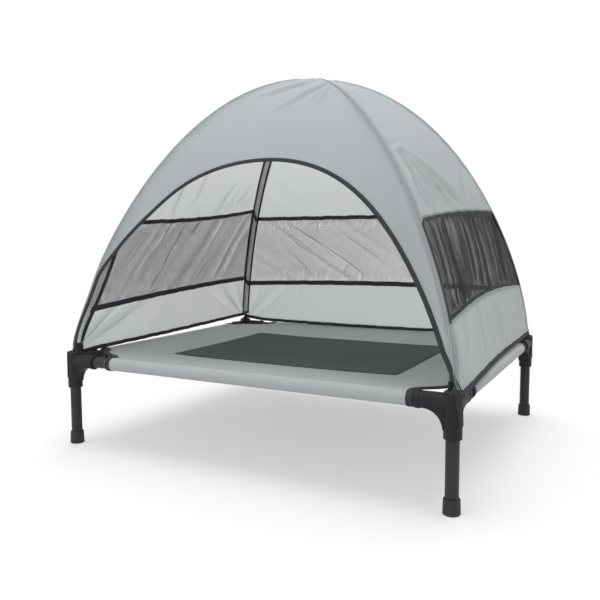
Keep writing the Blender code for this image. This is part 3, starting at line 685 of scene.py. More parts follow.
def corner_flare(corner, height):
    """The pull over a connector: a power of the depth below 12 mm over the pole's base.

    Higher up, the front left ridge lies closer to its pole, by a bell of the height.
    """
    level = CANOPY_HEIGHT * np.asarray(height, float)
    depth = np.clip((0.012 - level) / 0.0235, 0.0, None)
    tuck = 0.0048 * np.exp(-(((level - 0.105) / 0.075) ** 2)) if corner == "front_left" else 0.0
    return (CORNER_FLARE[corner] * depth**1.7 - tuck)[..., None] * ridge_out(corner)


def gore(side, across, height):
    """A gore's surface: ruled between its two ridges, and drawn in by a squared sine across it."""
    across = np.asarray(across, float)
    first, last = SIDES[side]
    left, right_ = ridge_points(first, height), ridge_points(last, height)
    start, end = corner_flare(first, height), corner_flare(last, height)
    pull = PANEL_SAG * np.sin(math.pi * np.clip(across, 0, 1)) ** 2 * np.clip(1 - height, 0.0, 1.0)
    level = left + start + (right_ - left + end - start) * across[..., None]
    return level - pull[..., None] * np.array(OUT[side], float)


def gore_normals(side, across, height):
    """Outward unit normals of a gore, from small steps across and up."""
    step = 1e-3
    height = np.clip(height, -0.04, 0.997)
    sideways = gore(side, across + step, height) - gore(side, across - step, height)
    upwards = gore(side, across, height + step) - gore(side, across, height - step)
    normal = np.cross(sideways, upwards)
    normal /= np.maximum(np.linalg.norm(normal, axis=-1, keepdims=True), 1e-12)
    outward = np.array(OUT[side], float) + (0, 0, 0.3)
    flip = np.sign(np.sum(normal * outward, axis=-1, keepdims=True))
    return normal * np.where(flip == 0, 1, flip)


def share_of(z):
    """A height in metres as a share of the canopy's, from the poles' bases."""
    return (np.asarray(z, float) - POLE_BASE) / CANOPY_HEIGHT


def gore_width(side, height):
    """The level distance between a gore's two ridges."""
    left, right_ = (ridge_points(corner, height) for corner in SIDES[side])
    return np.linalg.norm(right_ - left, axis=-1)


mid_widths = {side: round(float(gore_width(side, np.array(0.5))), 3) for side in SIDES}
print("gore widths at mid height", mid_widths)

# %% [markdown]
# ## Folds
#
# Tight cloth doesn't wave at random. It makes straight, narrow folds that run from where it is
# pulled, such as a seam's end or a corner, and die out on the way. A fold is written as a line from
# one point to another on the gore, with a width and a height. Its cross-section is a soft bell, and
# a half sine tapers it at both ends. Where cloth is gathered on a tape, short folds stand side by
# side on the seam, so those are made in a row, with shuffled steps. Under them all lies a very low,
# long waviness made of a few slanting sines.

# %% Folds
SINES = 6


def folds(along, up_, lines):
    """The summed height of folds, each given as (along, up, along, up, width, height) in metres."""
    start = lines[:, 0:2][:, None, None]
    run = (lines[:, 2:4] - lines[:, 0:2])[:, None, None]
    place = np.stack([along, up_], axis=-1)[None]
    size = np.sum(run * run, axis=-1)
    share = np.clip(np.sum((place - start) * run, axis=-1) / size, 0.0, 1.0)
    gap = np.linalg.norm(place - start - run * share[..., None], axis=-1)
    width, height = lines[:, 4][:, None, None], lines[:, 5][:, None, None]
    bell = np.exp(-((gap / (width * (0.6 + 0.4 * share))) ** 2))
    return np.sum(height * bell * np.sin(math.pi * (0.10 + 0.86 * share)), axis=0)


def smooth_step(value, low, high):
    """0 below the low value and 1 above the high one, with no bend at either."""
    share = np.clip((value - low) / (high - low), 0.0, 1.0)
    return share * share * (3 - 2 * share)


def waviness(along, up_, seed, length, height, slant=0.5):
    """The mean of a few slanting sines, each about one length long.

    Their directions and phases are seeded.
    """
    chance = np.random.default_rng(seed)
    turn = chance.uniform(-slant, slant, SINES)[:, None, None]
    phase = chance.uniform(0, 2 * math.pi, SINES)[:, None, None]
    size = (length * chance.uniform(0.7, 1.6, SINES))[:, None, None]
    wave = np.sin(2 * math.pi * (along * np.cos(turn) + up_ * np.sin(turn)) / size + phase)
    return height * np.sum(wave, axis=0) / SINES


def gathers(start, end, level, seed, pitch, reach, lean, width, height, upwards=1):
    """A row of short folds on a seam, as lines for folds().

    They stand a pitch apart from start to end, on the seam's level at each place, and every length,
    lean, width and height is its mean times a seeded number near 1.
    """
    chance = np.random.default_rng(seed)
    count = int((end - start) / pitch)
    place = start + (np.arange(count) + chance.uniform(0.15, 0.85, count)) * pitch
    long = reach * chance.uniform(0.5, 1.5, count)
    slant = lean * chance.uniform(0.6, 1.4, count) + chance.uniform(-0.12, 0.12, count)
    foot = level(place)
    sign = np.where(np.arange(count) % 2 == 0, 1.0, -1.0)
    return np.stack(
        [
            place,
            foot,
            place + slant * long * upwards,
            foot + long * upwards,
            width * chance.uniform(0.7, 1.3, count),
            height * sign * chance.uniform(0.5, 1.3, count),
        ],
        axis=1,
    )


print("fold helpers ready")

# %% [markdown]
# ## Seams of the sides
#
# Each side has three strips: cloth above, net in the middle, and cloth below. The seams between
# them climb a little towards the back, and each has a slight bow. The strips are made from the same
# gore, cut at the seams, so they meet exactly. A sewn seam is never quite straight, so each also
# has a shake of about a millimetre, and the window's front upper corner is rounded off.

# %% Seams
# Heights over the poles' bases at the front and rear end, the bow between, and a lift at either end
# of a hem
SEAMS = {
    "left": {
        "hem": (-0.0205, -0.0020, 0.0, -0.0030, 0.0),
        "low": (0.0780, 0.1210, 0.008),
        "top": (0.2905, 0.3400, -0.009),
    },
    "right": {
        "hem": (-0.0210, -0.0090, 0.0, 0.0, 0.0),
        "low": (0.0971, 0.1209, 0.0168),
        "top": (0.2823, 0.3183, 0.0074),
    },
    "rear": {
        "hem": (-0.0165, -0.0165, -0.0037, 0.0062, 0.0062),
        "low": (0.1080, 0.1030, 0.009),
        "top": (0.3115, 0.3140, 0.0),
    },
}
SEAM_SHAKE = {"hem": 0.0006, "low": 0.0007, "top": 0.0011}
WINDOW_ROUND = {"left": 0.008, "right": 0.009, "rear": 0.0}
# How far along the seam a hem's lift and a window's rounded corner reach
LIFT_REACH, ROUND_REACH = 0.050, 0.020


def seam_height(side, seam, across):
    """A seam's height: straight from front to rear, plus a bow, a hem's end lifts and a small shake.

    The rear side is taken from its right end to its left. The shake is three sines, calmed at the
    ends.
    """
    front, rear, bow, *lifts = SEAMS[side][seam]
    across = np.asarray(across, float)
    back = 1 - across if side == "left" else across
    width = 2 * (POLE_X if side == "rear" else POLE_Y)
    height = front + (rear - front) * back + bow * 4 * back * (1 - back)
    for lift, gap in zip(lifts, (back, 1 - back)):
        height = height + lift * np.exp(-((gap * width / LIFT_REACH) ** 2))
    if seam == "top":
        height = height - WINDOW_ROUND[side] * np.exp(-((back * width / ROUND_REACH) ** 2))
    turn = back * width
    shake = np.sin(turn * 61 + len(side)) + 0.8 * np.sin(turn * 137 + len(seam))
    shake = shake + 0.6 * np.sin(turn * 233)
    calmed = np.sin(math.pi * np.clip(across, 0, 1)) ** 0.5
    return POLE_BASE + height + SEAM_SHAKE[seam] * 0.6 * shake * calmed


def strip_edge(side, seam, across):
    """The height of a strip's edge: its seam's, or the canopy's top where there is no seam."""
    return seam_height(side, seam, across) if seam else np.full(across.shape, CANOPY_TOP)


def strip_grid(side, low, high, rows, columns, inset=0.0015):
    """Across and height shares of a strip between two seams, closer together towards the top."""
    across = np.linspace(0.0, 1.0, columns)[None, :]
    share = np.linspace(0.0, 1.0, rows)[:, None]
    low_t = 1 - np.sqrt(1 - np.clip(share_of(strip_edge(side, low, across)), -0.1, 0.9999))
    high_t = 1 - np.sqrt(1 - np.clip(share_of(strip_edge(side, high, across)), -0.1, 0.9999))
    height = 1 - (1 - (low_t + (high_t - low_t) * share)) ** 2
    across = np.broadcast_to(across, height.shape)
    edge = np.clip(inset / np.maximum(gore_width(side, height), 1e-6), 0.0, 0.4)
    return edge + (1 - 2 * edge) * across, height


def side_sheet(side, across, height, lift):
    """The gore's points lifted along their normals."""
    return gore(side, across, height) + lift[..., None] * gore_normals(side, across, height)


def along_side(side, points):
    """Level distance along a side, from its middle, towards the back on the left and right."""
    return points[..., 0] if side in ("rear", "front") else points[..., 1]


def across_at(side, along, height):
    """The across share of a place along a side at a height share."""
    ends = [along_side(side, ridge_points(corner, height)) for corner in SIDES[side]]
    return (along - ends[0]) / (ends[1] - ends[0])


def seam_level(side, seam):
    """The seam's height as a function of the place along the side."""

    def level(along):
        across = across_at(side, along, 0.3 * np.ones_like(along))
        return seam_height(side, seam, np.clip(across, 0, 1))

    return level


def calm(across, height, side, reach=0.03):
    """1 in the middle of a panel and 0 at its ridges, rising over a reach in metres."""
    gap = np.minimum(across, 1 - across) * gore_width(side, height)
    return 1 - np.exp(-((gap / reach) ** 2))


def eased(gap, reach=0.009):
    """0 on a seam and 1 away from it, as one less a bell of the gap."""
    return 1 - np.exp(-((gap / reach) ** 2))


print("right window from", np.round(seam_height("right", "low", np.array([0, 0.5, 1])), 3))

# %% [markdown]
# ## Upper panels
#
# On the right side the cloth is gathered towards the point where the pole bends most, a hand's
# width over the window's front corner, and long folds fan out from there down to the tape. On the
# left, seen from inside, short soft folds stand on the tape and lean with it towards the door.
# Where a fold dips, shade is painted: a number on each point tells the finish how deep it lies in a
# crease, and there the cloth is drawn darker and lets less light through.

# %% Upper panels
UPPER_FOLDS = {
    "right": np.array(
        [
            (-0.178, 0.672, -0.262, 0.540, 0.0095, 0.0070),
            (-0.166, 0.670, -0.216, 0.540, 0.0085, -0.0070),
            (-0.156, 0.678, -0.176, 0.542, 0.0120, 0.0090),
            (-0.146, 0.674, -0.132, 0.546, 0.0100, -0.0085),
            (-0.136, 0.680, -0.086, 0.549, 0.0135, 0.0090),
            (-0.130, 0.674, -0.036, 0.551, 0.0110, -0.0080),
            (-0.124, 0.681, 0.014, 0.556, 0.0150, 0.0085),
            (-0.118, 0.674, 0.062, 0.562, 0.0120, -0.0095),
            (-0.104, 0.683, 0.130, 0.566, 0.0160, 0.0060),
            (-0.198, 0.664, -0.108, 0.684, 0.0070, 0.0070),
            (-0.185, 0.690, -0.080, 0.708, 0.0090, 0.0030),
            (-0.062, 0.842, -0.028, 0.812, 0.0050, 0.0040),
            (-0.080, 0.830, -0.050, 0.790, 0.0055, -0.0025),
            (0.262, 0.660, 0.180, 0.560, 0.0140, 0.0045),
            (0.240, 0.690, 0.090, 0.560, 0.0150, -0.0040),
        ]
    ),
    "left": np.array(
        [
            (-0.222, 0.650, -0.240, 0.540, 0.0085, 0.0050),
            (-0.190, 0.640, -0.205, 0.540, 0.0080, -0.0060),
            (-0.160, 0.665, -0.172, 0.540, 0.0090, 0.0055),
            (-0.118, 0.650, -0.128, 0.545, 0.0085, -0.0055),
            (-0.086, 0.670, -0.100, 0.545, 0.0090, 0.0050),
            (-0.036, 0.665, -0.052, 0.548, 0.0095, -0.0050),
            (0.010, 0.670, -0.010, 0.552, 0.0100, 0.0045),
            (0.120, 0.650, 0.070, 0.556, 0.0090, -0.0045),
            (0.165, 0.655, 0.105, 0.560, 0.0090, 0.0045),
            (0.215, 0.650, 0.145, 0.562, 0.0085, -0.0045),
            (0.250, 0.640, 0.185, 0.565, 0.0080, 0.0040),
        ]
    ),
    "rear": np.array(
        [
            (-0.330, 0.640, -0.230, 0.560, 0.0140, 0.0022),
            (-0.300, 0.680, -0.150, 0.560, 0.0160, -0.0015),
            (0.330, 0.640, 0.230, 0.560, 0.0140, 0.0035),
            (0.290, 0.690, 0.120, 0.560, 0.0160, -0.0030),
        ]
    ),
}
# For each side: pitch, reach, lean, width and height of the short folds on its top seam
UPPER_GATHERS = {
    "right": (0.023, 0.065, 0.10, 0.0058, 0.0042),
    "left": (0.026, 0.050, 0.15, 0.0065, 0.0032),
    "rear": (0.055, 0.040, 0.00, 0.0090, 0.0014),
}
# How far a fold dips where its painted crease shade is at its darkest
CREASE_DEPTH = {"right": 0.0070, "left": 0.0130, "rear": 0.0200}
# How far from a ridge the folds come to most of their height, and how far along the seam the short
# ones go
CALM_REACH = {"right": 0.019, "left": 0.030, "rear": 0.020}
GATHER_END = {"right": 0.32, "left": 0.32, "rear": 0.40}


def crease_shade_of(lift, depth):
    """Painted shade in a crease, from 0 to 1, taken from how far the folds dip there."""
    return np.clip(-lift / depth, 0.0, 1.0) ** 1.3


def upper_panel(side):
    """The cloth above a window."""
    across, height = strip_grid(side, "top", None, rows=130, columns=190)
    base = gore(side, across, height)
    along, up_ = along_side(side, base), base[..., 2]
    end = GATHER_END[side]
    rows = gathers(-end, end, seam_level(side, "top"), 3 + len(side), *UPPER_GATHERS[side])
    lift = folds(along, up_, UPPER_FOLDS[side]) + folds(along, up_, rows)
    easing = calm(across, height, side, CALM_REACH[side]) * eased(up_ - up_[:1])
    # Painted shade: how deep each point lies in a fold's valley, for the finish to darken
    crease = crease_shade_of(lift * easing, CREASE_DEPTH[side])
    lift = (lift + waviness(along, up_, len(side), 0.20, 0.0026)) * easing
    points, crease = faces_outward(side_sheet(side, across, height, lift), DOME_MIDDLE, crease)
    return cloth_piece(
        f"{side}_upper_cloth",
        points,
        CLOTH_THICK,
        CANOPY_CLOTH,
        CANOPY_BODY,
        [f"canopy_{side}_upper"],
        "light_canopy_fabric",
        "stretched",
        ["upper_pole_middle"],
        crease=crease,
    )


print({side: len(lines) for side, lines in UPPER_FOLDS.items()}, "long folds over the windows")

# %% Lower panels
LOWER_FOLDS = {
    "right": np.array(
        [
            (-0.366, 0.232, -0.352, 0.335, 0.0080, 0.0045),
            (-0.362, 0.232, -0.318, 0.345, 0.0080, -0.0045),
            (-0.355, 0.232, -0.280, 0.350, 0.0090, 0.0045),
            (-0.345, 0.232, -0.235, 0.352, 0.0100, -0.0040),
            (-0.330, 0.234, -0.180, 0.356, 0.0110, 0.0040),
            (-0.100, 0.240, -0.140, 0.362, 0.0140, -0.0035),
            (0.080, 0.240, 0.040, 0.366, 0.0140, 0.0035),
            (0.350, 0.240, 0.240, 0.362, 0.0120, 0.0035),
            (0.355, 0.240, 0.300, 0.360, 0.0110, -0.0035),
        ]
    ),
    "left": np.array(
        [
            (-0.366, 0.234, -0.300, 0.320, 0.0080, 0.0050),
            (-0.360, 0.232, -0.250, 0.330, 0.0080, -0.0050),
            (-0.352, 0.232, -0.190, 0.335, 0.0090, 0.0050),
            (-0.340, 0.232, -0.120, 0.340, 0.0100, -0.0040),
            (-0.120, 0.240, -0.040, 0.345, 0.0140, 0.0030),
            (0.364, 0.244, 0.300, 0.352, 0.0070, -0.0045),
            (0.360, 0.244, 0.255, 0.352, 0.0080, 0.0045),
            (0.352, 0.244, 0.200, 0.350, 0.0090, -0.0040),
            (0.320, 0.244, 0.120, 0.348, 0.0100, 0.0030),
        ]
    ),
    "rear": np.array(
        [
            (-0.445, 0.236, -0.385, 0.345, 0.0100, 0.0045),
            (-0.440, 0.234, -0.325, 0.345, 0.0110, -0.0025),
            (-0.420, 0.232, -0.270, 0.348, 0.0120, 0.0045),
            (-0.330, 0.228, -0.200, 0.330, 0.0130, -0.0015),
            (-0.238, 0.345, -0.262, 0.270, 0.0070, 0.0025),
            (0.445, 0.236, 0.340, 0.345, 0.0100, 0.0040),
            (0.430, 0.234, 0.260, 0.345, 0.0120, -0.0030),
        ]
    ),
}


def lower_panel(side):
    """The cloth between a window and the hem."""
    across, height = strip_grid(side, "hem", "low", rows=56, columns=240)
    base = gore(side, across, height)
    along, up_ = along_side(side, base), base[..., 2]
    lift = 1.5 * folds(along, up_, LOWER_FOLDS[side])
    easing = calm(across, height, side, 0.016) * eased(up_ - up_[:1]) * eased(up_[-1:] - up_)
    # Painted shade: how deep each point lies in a fold's valley, for the finish to darken
    crease = crease_shade_of(lift * easing, CREASE_DEPTH[side] * 1.4)
    lift = (lift + waviness(along, up_, 7 + len(side), 0.11, 0.0030)) * easing
    points, crease = faces_outward(side_sheet(side, across, height, lift), DOME_MIDDLE, crease)
    return cloth_piece(
        f"{side}_lower_cloth",
        points,
        CLOTH_THICK,
        CANOPY_CLOTH,
        CANOPY_BODY,
        [f"canopy_{side}_lower"],
        "light_canopy_fabric",
        "hung",
        ["upper_pole_middle"],
        crease=crease,
    )


print({side: len(lines) for side, lines in LOWER_FOLDS.items()}, "long folds under the windows")

# %% [markdown]
# ## Window nets
#
# The nets are cut larger than their openings and hang slack. They are pulled from the upper rear
# towards the lower front corner, so their pleats lean that way. Where a pleat doubles over, its
# threads lie closer and the net is darker; where it is stretched it is more open. That is kept as
# one number on each vertex, which the net's finish reads.

# %% Window nets
# For each side: pleats per metre, depth, lean of their crests along the side for each metre up, how
# sharp the crests are, how much closer the threads lie on a pleat and how close they lie on the
# whole; how much darker the creases and the short folds are; and the strongest creases as lines for
# folds()
NETS = {
    "right": {
        "pleats": (17.0, 0.0090, 0.45, 1.0, 0.125, 0.236),
        "darker": (0.080, 0.6),
        "creases": np.array(
            [
                (-0.300, 0.520, -0.345, 0.350, 0.0040, 1.0),
                (-0.250, 0.524, -0.315, 0.350, 0.0045, 0.8),
                (-0.200, 0.526, -0.275, 0.360, 0.0045, 1.0),
                (-0.140, 0.530, -0.225, 0.365, 0.0050, 0.9),
                (-0.070, 0.535, -0.160, 0.370, 0.0050, 0.8),
                (0.000, 0.540, -0.095, 0.372, 0.0055, 0.9),
                (0.090, 0.548, -0.010, 0.374, 0.0060, 0.7),
                (0.180, 0.552, 0.100, 0.372, 0.0060, 0.8),
            ]
        ),
    },
    "left": {
        "pleats": (15.0, 0.0032, 0.62, 0.7, 0.018, 0.119),
        "darker": (0.17, 1.6),
        "creases": np.array(
            [
                (-0.105, 0.545, -0.130, 0.480, 0.0024, 0.8),
                (-0.130, 0.480, -0.185, 0.410, 0.0020, 0.8),
                (-0.035, 0.548, -0.075, 0.470, 0.0025, 1.0),
                (-0.075, 0.470, -0.098, 0.410, 0.0026, 1.3),
                (-0.098, 0.410, -0.140, 0.352, 0.0022, 1.0),
                (-0.190, 0.500, -0.245, 0.420, 0.0022, 0.5),
                (0.020, 0.548, -0.010, 0.500, 0.0030, 0.5),
                (0.120, 0.440, 0.065, 0.375, 0.0030, 0.5),
            ]
        ),
    },
    "rear": {
        "pleats": (5.0, 0.0028, -1.45, 0.4, 0.010, 0.094),
        "darker": (0.08, 1.2),
        "creases": np.array(
            [
                (-0.250, 0.535, -0.130, 0.462, 0.0036, 0.8),
                (-0.130, 0.462, -0.010, 0.378, 0.0032, 0.9),
                (-0.262, 0.500, -0.200, 0.440, 0.0045, 0.4),
                (-0.250, 0.440, -0.190, 0.375, 0.0045, 0.4),
                (-0.080, 0.510, 0.050, 0.420, 0.0036, 0.5),
                (0.040, 0.540, 0.130, 0.440, 0.0036, 0.4),
                (-0.060, 0.420, -0.085, 0.375, 0.0030, 0.4),
            ]
        ),
    },
}
RIGHT_NET_LIMITS = (0.15, 0.48)


def window_piece(side):
    """The net. Its pleats are a sine of the place along the side, turned by the lean.

    The closeness of the threads is greatest on one flank of a pleat, where it lies double, and in a
    crease. The right net, which is seen from outside, is denser towards the back.
    """
    count, depth, lean, sharp, close, base_closeness = NETS[side]["pleats"]
    across, height = strip_grid(side, "low", "top", rows=90, columns=460)
    base = gore(side, across, height)
    along, up_ = along_side(side, base), base[..., 2]
    gap_low, gap_high = up_ - up_[:1], up_[-1:] - up_
    turned = along - lean * (up_ - 0.45)
    phase = 2 * math.pi * count * turned + 1.2 * np.sin(turned * 19.0 + len(side))
    phase = phase + 0.9 * np.sin(turned * 47.0 + up_ * 5.0)
    phase = phase + 0.5 * np.sin(up_ * 23.0 + turned * 11.0)
    crest = 1 - np.abs(np.sin(phase / 2)) ** (1.2 - 0.5 * sharp)
    strength = 0.6 + 0.4 * np.sin(turned * 31.0 + 1.0)
    creases = folds(along, up_, NETS[side]["creases"])
    lift = depth * strength * (crest - 0.45) + 0.0030 * creases
    short = gathers(-0.35, 0.35, seam_level(side, "top"), 40, 0.022, 0.028, 0.5, 0.0045, 0.0022, -1)
    short_low = gathers(-0.35, 0.35, seam_level(side, "low"), 41, 0.026, 0.030, 0.5, 0.0050, 0.0022)
    small = folds(along, up_, np.concatenate([short, short_low]))
    lift = (lift + small) * calm(across, height, side, 0.010)
    lift = lift * eased(gap_low, 0.012) * eased(gap_high, 0.012)
    broad = waviness(along, up_, 3, 0.2, 0.0020) * calm(across, height, side)
    lift = lift + broad * eased(gap_low, 0.02) * eased(gap_high, 0.02)
    of_creases, of_small = NETS[side]["darker"]
    doubled = 1.3 * np.clip(np.sin(phase), 0.0, 1.0) ** 2 - 0.25
    closeness = base_closeness + close * strength * doubled
    closeness = closeness + of_creases * creases + of_small * small
    if side == "right":
        closeness = closeness + 0.055 * smooth_step(along, -0.02, 0.24)
        closeness = np.clip(closeness, *RIGHT_NET_LIMITS)
    sheet = side_sheet(side, across, height, lift)
    points, closeness = faces_outward(sheet, DOME_MIDDLE, closeness)
    return cloth_piece(
        f"{side}_window_net",
        points,
        THIN_THICK,
        WINDOW_NET,
        CANOPY_BODY,
        [f"canopy_{side}_window"],
        "window_mesh",
        "gathered",
        [f"{side}_upper_cloth"],
        closeness=closeness,
    )


for side in WINDOW_SIDES:
    made = [upper_panel(side), window_piece(side), lower_panel(side)]
    print(side, [len(piece.data.polygons) for piece in made], "faces")

# %% [markdown]
# ## Tapes and hems
#
# The seams are covered on the inside with a black tape, which shows as a dark band from inside and
# only as a fine line from outside. The hem is bound all round its edge. Both run on the gore's own
# surface: the tape lies just inside it, and the binding is centred on the edge and covers both
# faces.

# %% Tapes of the sides
SEAM_TAPES = {
    "top": (band_section(0.0105, 0.0016), 0.0019),
    "low": (band_section(0.0142, 0.0016), 0.0021),
    "hem": (band_section(0.0100, 0.0030, 7), 0.0),
}
# The tape's edge that shows outside, over the net, and how far it lies below the top seam
OUTER_EDGE, OUTER_DROP = band_section(0.0075, 0.0011), 0.0036


def side_line(side, seam, depth, reach=0.0025, count=200):
    """Points along a seam, sunk inwards by a depth, with the gore's normals."""
    across = np.linspace(0.0, 1.0, count)
    height = share_of(seam_height(side, seam, across))
    edge = reach / gore_width(side, height)
    across = edge + (1 - 2 * edge) * across
    normals = gore_normals(side, across, height)
    return gore(side, across, height) - normals * depth, normals


for side in WINDOW_SIDES:
    for seam, (section, depth) in SEAM_TAPES.items():
        line, normals = side_line(side, seam, depth)
        node = f"canopy_{side}_{seam}_tape"
        band(f"{side}_{seam}_tape", line, normals, section, TAPE, CANOPY_BODY, [node])
    line, normals = side_line(side, "top", -0.0010)
    line[:, 2] -= OUTER_DROP
    band(f"{side}_top_edge", line, normals, OUTER_EDGE, TAPE, CANOPY_BODY)
print("tapes made")

# %% Stitches of the side tapes
ROW_GAP = 0.0030


def side_row(side, seam, depth):
    """The line of a row of stitches, which stops short of the ridges."""
    return side_line(side, seam, depth, reach=0.016, count=260)


for side in WINDOW_SIDES:
    for seam, shift in (("top", 0.0038), ("low", 0.0056)):
        line, normals = side_row(side, seam, SEAM_TAPES[seam][1] + 0.0010)
        for way, name in ((-1, "lower"), (1, "upper")):
            stitches(f"{side}_{seam}_stitches_{name}", line, -normals, CANOPY_BODY, way * shift)
        line, normals = side_row(side, seam, -0.0007)
        line[:, 2] += ROW_GAP if seam == "top" else -ROW_GAP
        stitches(
            f"{side}_{seam}_topstitches",
            line,
            normals,
            CANOPY_BODY,
            material=PALE_THREAD,
        )
    for way, name in ((1, "outer"), (-1, "inner")):
        line, normals = side_row(side, "hem", -0.0017 * way)
        line[:, 2] += ROW_GAP
        stitches(f"{side}_hem_stitches_{name}", line, normals * way, CANOPY_BODY)
print("side stitches made")

# %% [markdown]
# ## Ridges, pole sleeves and window edges
#
# Outside, each ridge is a felled seam: a welt of the same cloth with a fine cord on it. The cord is
# finished darker, a painted shadow, which draws the seam as a thin darker line. Inside, the pole runs
# in a sleeve: a strip of cloth that is sewn to both panels and bulges over the pole. Black tape
# covers the sewn edges of the strip, which draws the dark pairs of lines in the corners. Beside the
# door the strip starts under the door's binding, because there is no cloth further out to sew it
# to. Along a window the same tape lies outside too, at the net's edge.

# %% Ridge seams
def ridge_heights(corner, low, high, count):
    """Height shares along a ridge at even steps of its length."""
    fine = 1 - (1 - np.linspace(0, 1, 800)) ** 2
    fine = np.concatenate([np.linspace(-0.035, -0.0005, 40), fine])
    points = ridge_points(corner, fine)
    run = np.concatenate([[0.0], np.cumsum(np.linalg.norm(np.diff(points, axis=0), axis=1))])
    limits = np.interp([low, high], fine, run)
    return np.interp(np.linspace(*limits, count), run, fine)


def ridge_frame(corner, height):
    """The ridge's points, its direction, and the outward normal in its own upright plane."""
    points = ridge_points(corner, height) + corner_flare(corner, height)
    level = points @ ridge_out(corner)
    slope = np.stack([np.gradient(level), np.gradient(points[:, 2])], axis=1)
    slope /= np.linalg.norm(slope, axis=1, keepdims=True)
    tangent = slope[:, :1] * ridge_out(corner)[None]
    tangent[:, 2] = slope[:, 1]
    normal = slope[:, 1:] * ridge_out(corner)[None]
    normal[:, 2] = -slope[:, 0]
    return points, tangent, normal


HEM_SHARE = {
    corner: float(
        max(
            share_of(seam_height(side, "hem", np.array(float(place))))
            for side in WINDOW_SIDES
            for place, name in enumerate(SIDES[side])
            if name == corner
        )
    )
    for corner in CORNERS
}
# The bands on a ridge start this share of the canopy's height over its hem
BAND_START = 0.006
for corner in CORNERS:
    height = ridge_heights(corner, HEM_SHARE[corner] + BAND_START, 0.9985, 220)
    points, _, normal = ridge_frame(corner, height)
    band(
        f"ridge_welt_{corner}",
        points - normal * 0.0008,
        normal,
        band_section(0.0056, 0.0016),
        CANOPY_CLOTH,
        CANOPY_BODY,
    )
    # The cord's darker finish is painted shadow: the thin shade line of the felled seam
    band(
        f"ridge_shadow_cord_{corner}",
        points[:-3] + normal[:-3] * 0.0007,
        normal[:-3],
        band_section(0.0026, 0.0016, 4),
        SEAM_SHADE,
        CANOPY_BODY,
    )
print("ridge seams made, from shares", {key: round(value, 4) for key, value in HEM_SHARE.items()})

# %% Lines beside a ridge
def beside_ridge(corner, side, height, gap):
    """Across and height shares of points on a gore, at a gap measured square to one of its ridges.

    The step off the ridge is the gore's level direction less its part along the ridge, made a unit.
    """
    points, tangent, _ = ridge_frame(corner, height)
    other = SIDES[side][1] if SIDES[side][0] == corner else SIDES[side][0]
    level = ridge_points(other, height) - ridge_points(corner, height)
    level /= np.linalg.norm(level, axis=1, keepdims=True)
    step = level - np.sum(level * tangent, axis=1, keepdims=True) * tangent
    step /= np.linalg.norm(step, axis=1, keepdims=True)
    spot = points + step * np.asarray(gap, float).reshape(-1, 1)
    share = share_of(spot[:, 2])
    return across_at(side, along_side(side, spot), share), share


def ridge_band(name, corner, side, height, gap, section, depth, material=None):
    """A band up a gore at a gap from its ridge. A negative depth lies outside the cloth."""
    across, share = beside_ridge(corner, side, height, gap)
    normals = gore_normals(side, across, share)
    line = gore(side, across, share) - normals * depth
    return band(name, line, normals, section, material or TAPE, CANOPY_BODY)


def sides_of(corner):
    """The two sides that meet at a corner."""
    return [side for side, ends in SIDES.items() if corner in ends]

# %% Stitches beside the ridges
for side, ends in SIDES.items():
    for corner in ends:
        height = ridge_heights(corner, 0.03, 0.985, 260)
        across, share = beside_ridge(corner, side, height, 0.0040)
        normals = gore_normals(side, across, share)
        line = gore(side, across, share) + normals * 0.0007
        stitches(
            f"ridge_stitches_{side}_{corner}",
            line,
            normals,
            CANOPY_BODY,
            material=PALE_THREAD,
        )
print("ridge stitches made")

# %% Door arch
DOOR_TOP, DOOR_HALF_WIDTH = POLE_BASE + 0.420, POLE_X * (1 + RIDGE_OFFSET / POLE_REACH) - 0.0125
FRONT_HEM = POLE_BASE - 0.0142


def arch_lean(side, z):
    """How far each half of the arch is moved sideways at a height. Below 0 is to the left."""
    rise = np.clip((z - 0.27) / 0.27, 0.0, 1.0)
    right_ = -0.0175 * rise * (2 - rise) + 0.0100 * (1 - smooth_step(z, 0.232, 0.292))
    left = -0.0075 * (1 - smooth_step(z, 0.42, 0.56))
    left = left - 0.0065 * np.exp(-(((z - 0.405) / 0.035) ** 2))
    left = left - 0.0175 * smooth_step(z, 0.54, 0.655)
    return np.where(side > 0, right_, left)


def door_arch(around, spread=0.0):
    """The door's outline in x and z: a rounded arch that leans, moved outwards by a spread."""
    height = 1 - np.abs(around) ** 2
    level = DOOR_HALF_WIDTH * (1 - height**1.6) ** (1 / 2.1)
    z = FRONT_HEM + (DOOR_TOP - FRONT_HEM) * height
    x = np.sign(around) * level + arch_lean(np.where(np.abs(around) < 1e-9, 1, around), z)
    step_x, step_z = np.gradient(x), np.gradient(z)
    size = np.hypot(step_x, step_z)
    return np.stack([x - step_z / size * spread, z + step_x / size * spread], axis=-1)


ARCH_HALF = 600
ARCH = door_arch(np.linspace(-1, 1, 2 * ARCH_HALF + 1))


def door_gap(corner, height):
    """The level distance from a front ridge to the door's arch at a height, or 1 above the arch."""
    half = ARCH[: ARCH_HALF + 1] if corner == "front_left" else ARCH[ARCH_HALF:][::-1]
    ridge_x = ridge_points(corner, height)[:, 0]
    z = POLE_BASE + CANOPY_HEIGHT * height
    x = np.interp(z, half[:, 1], half[:, 0])
    return np.where(z < DOOR_TOP - 0.002, np.abs(ridge_x - x), 1.0)


print("door gap at the foot", np.round(door_gap("front_left", np.array([0.0, 0.1, 0.3])), 4))

# %% Pole sleeves and their tapes
SLEEVE_OUT = 0.0053
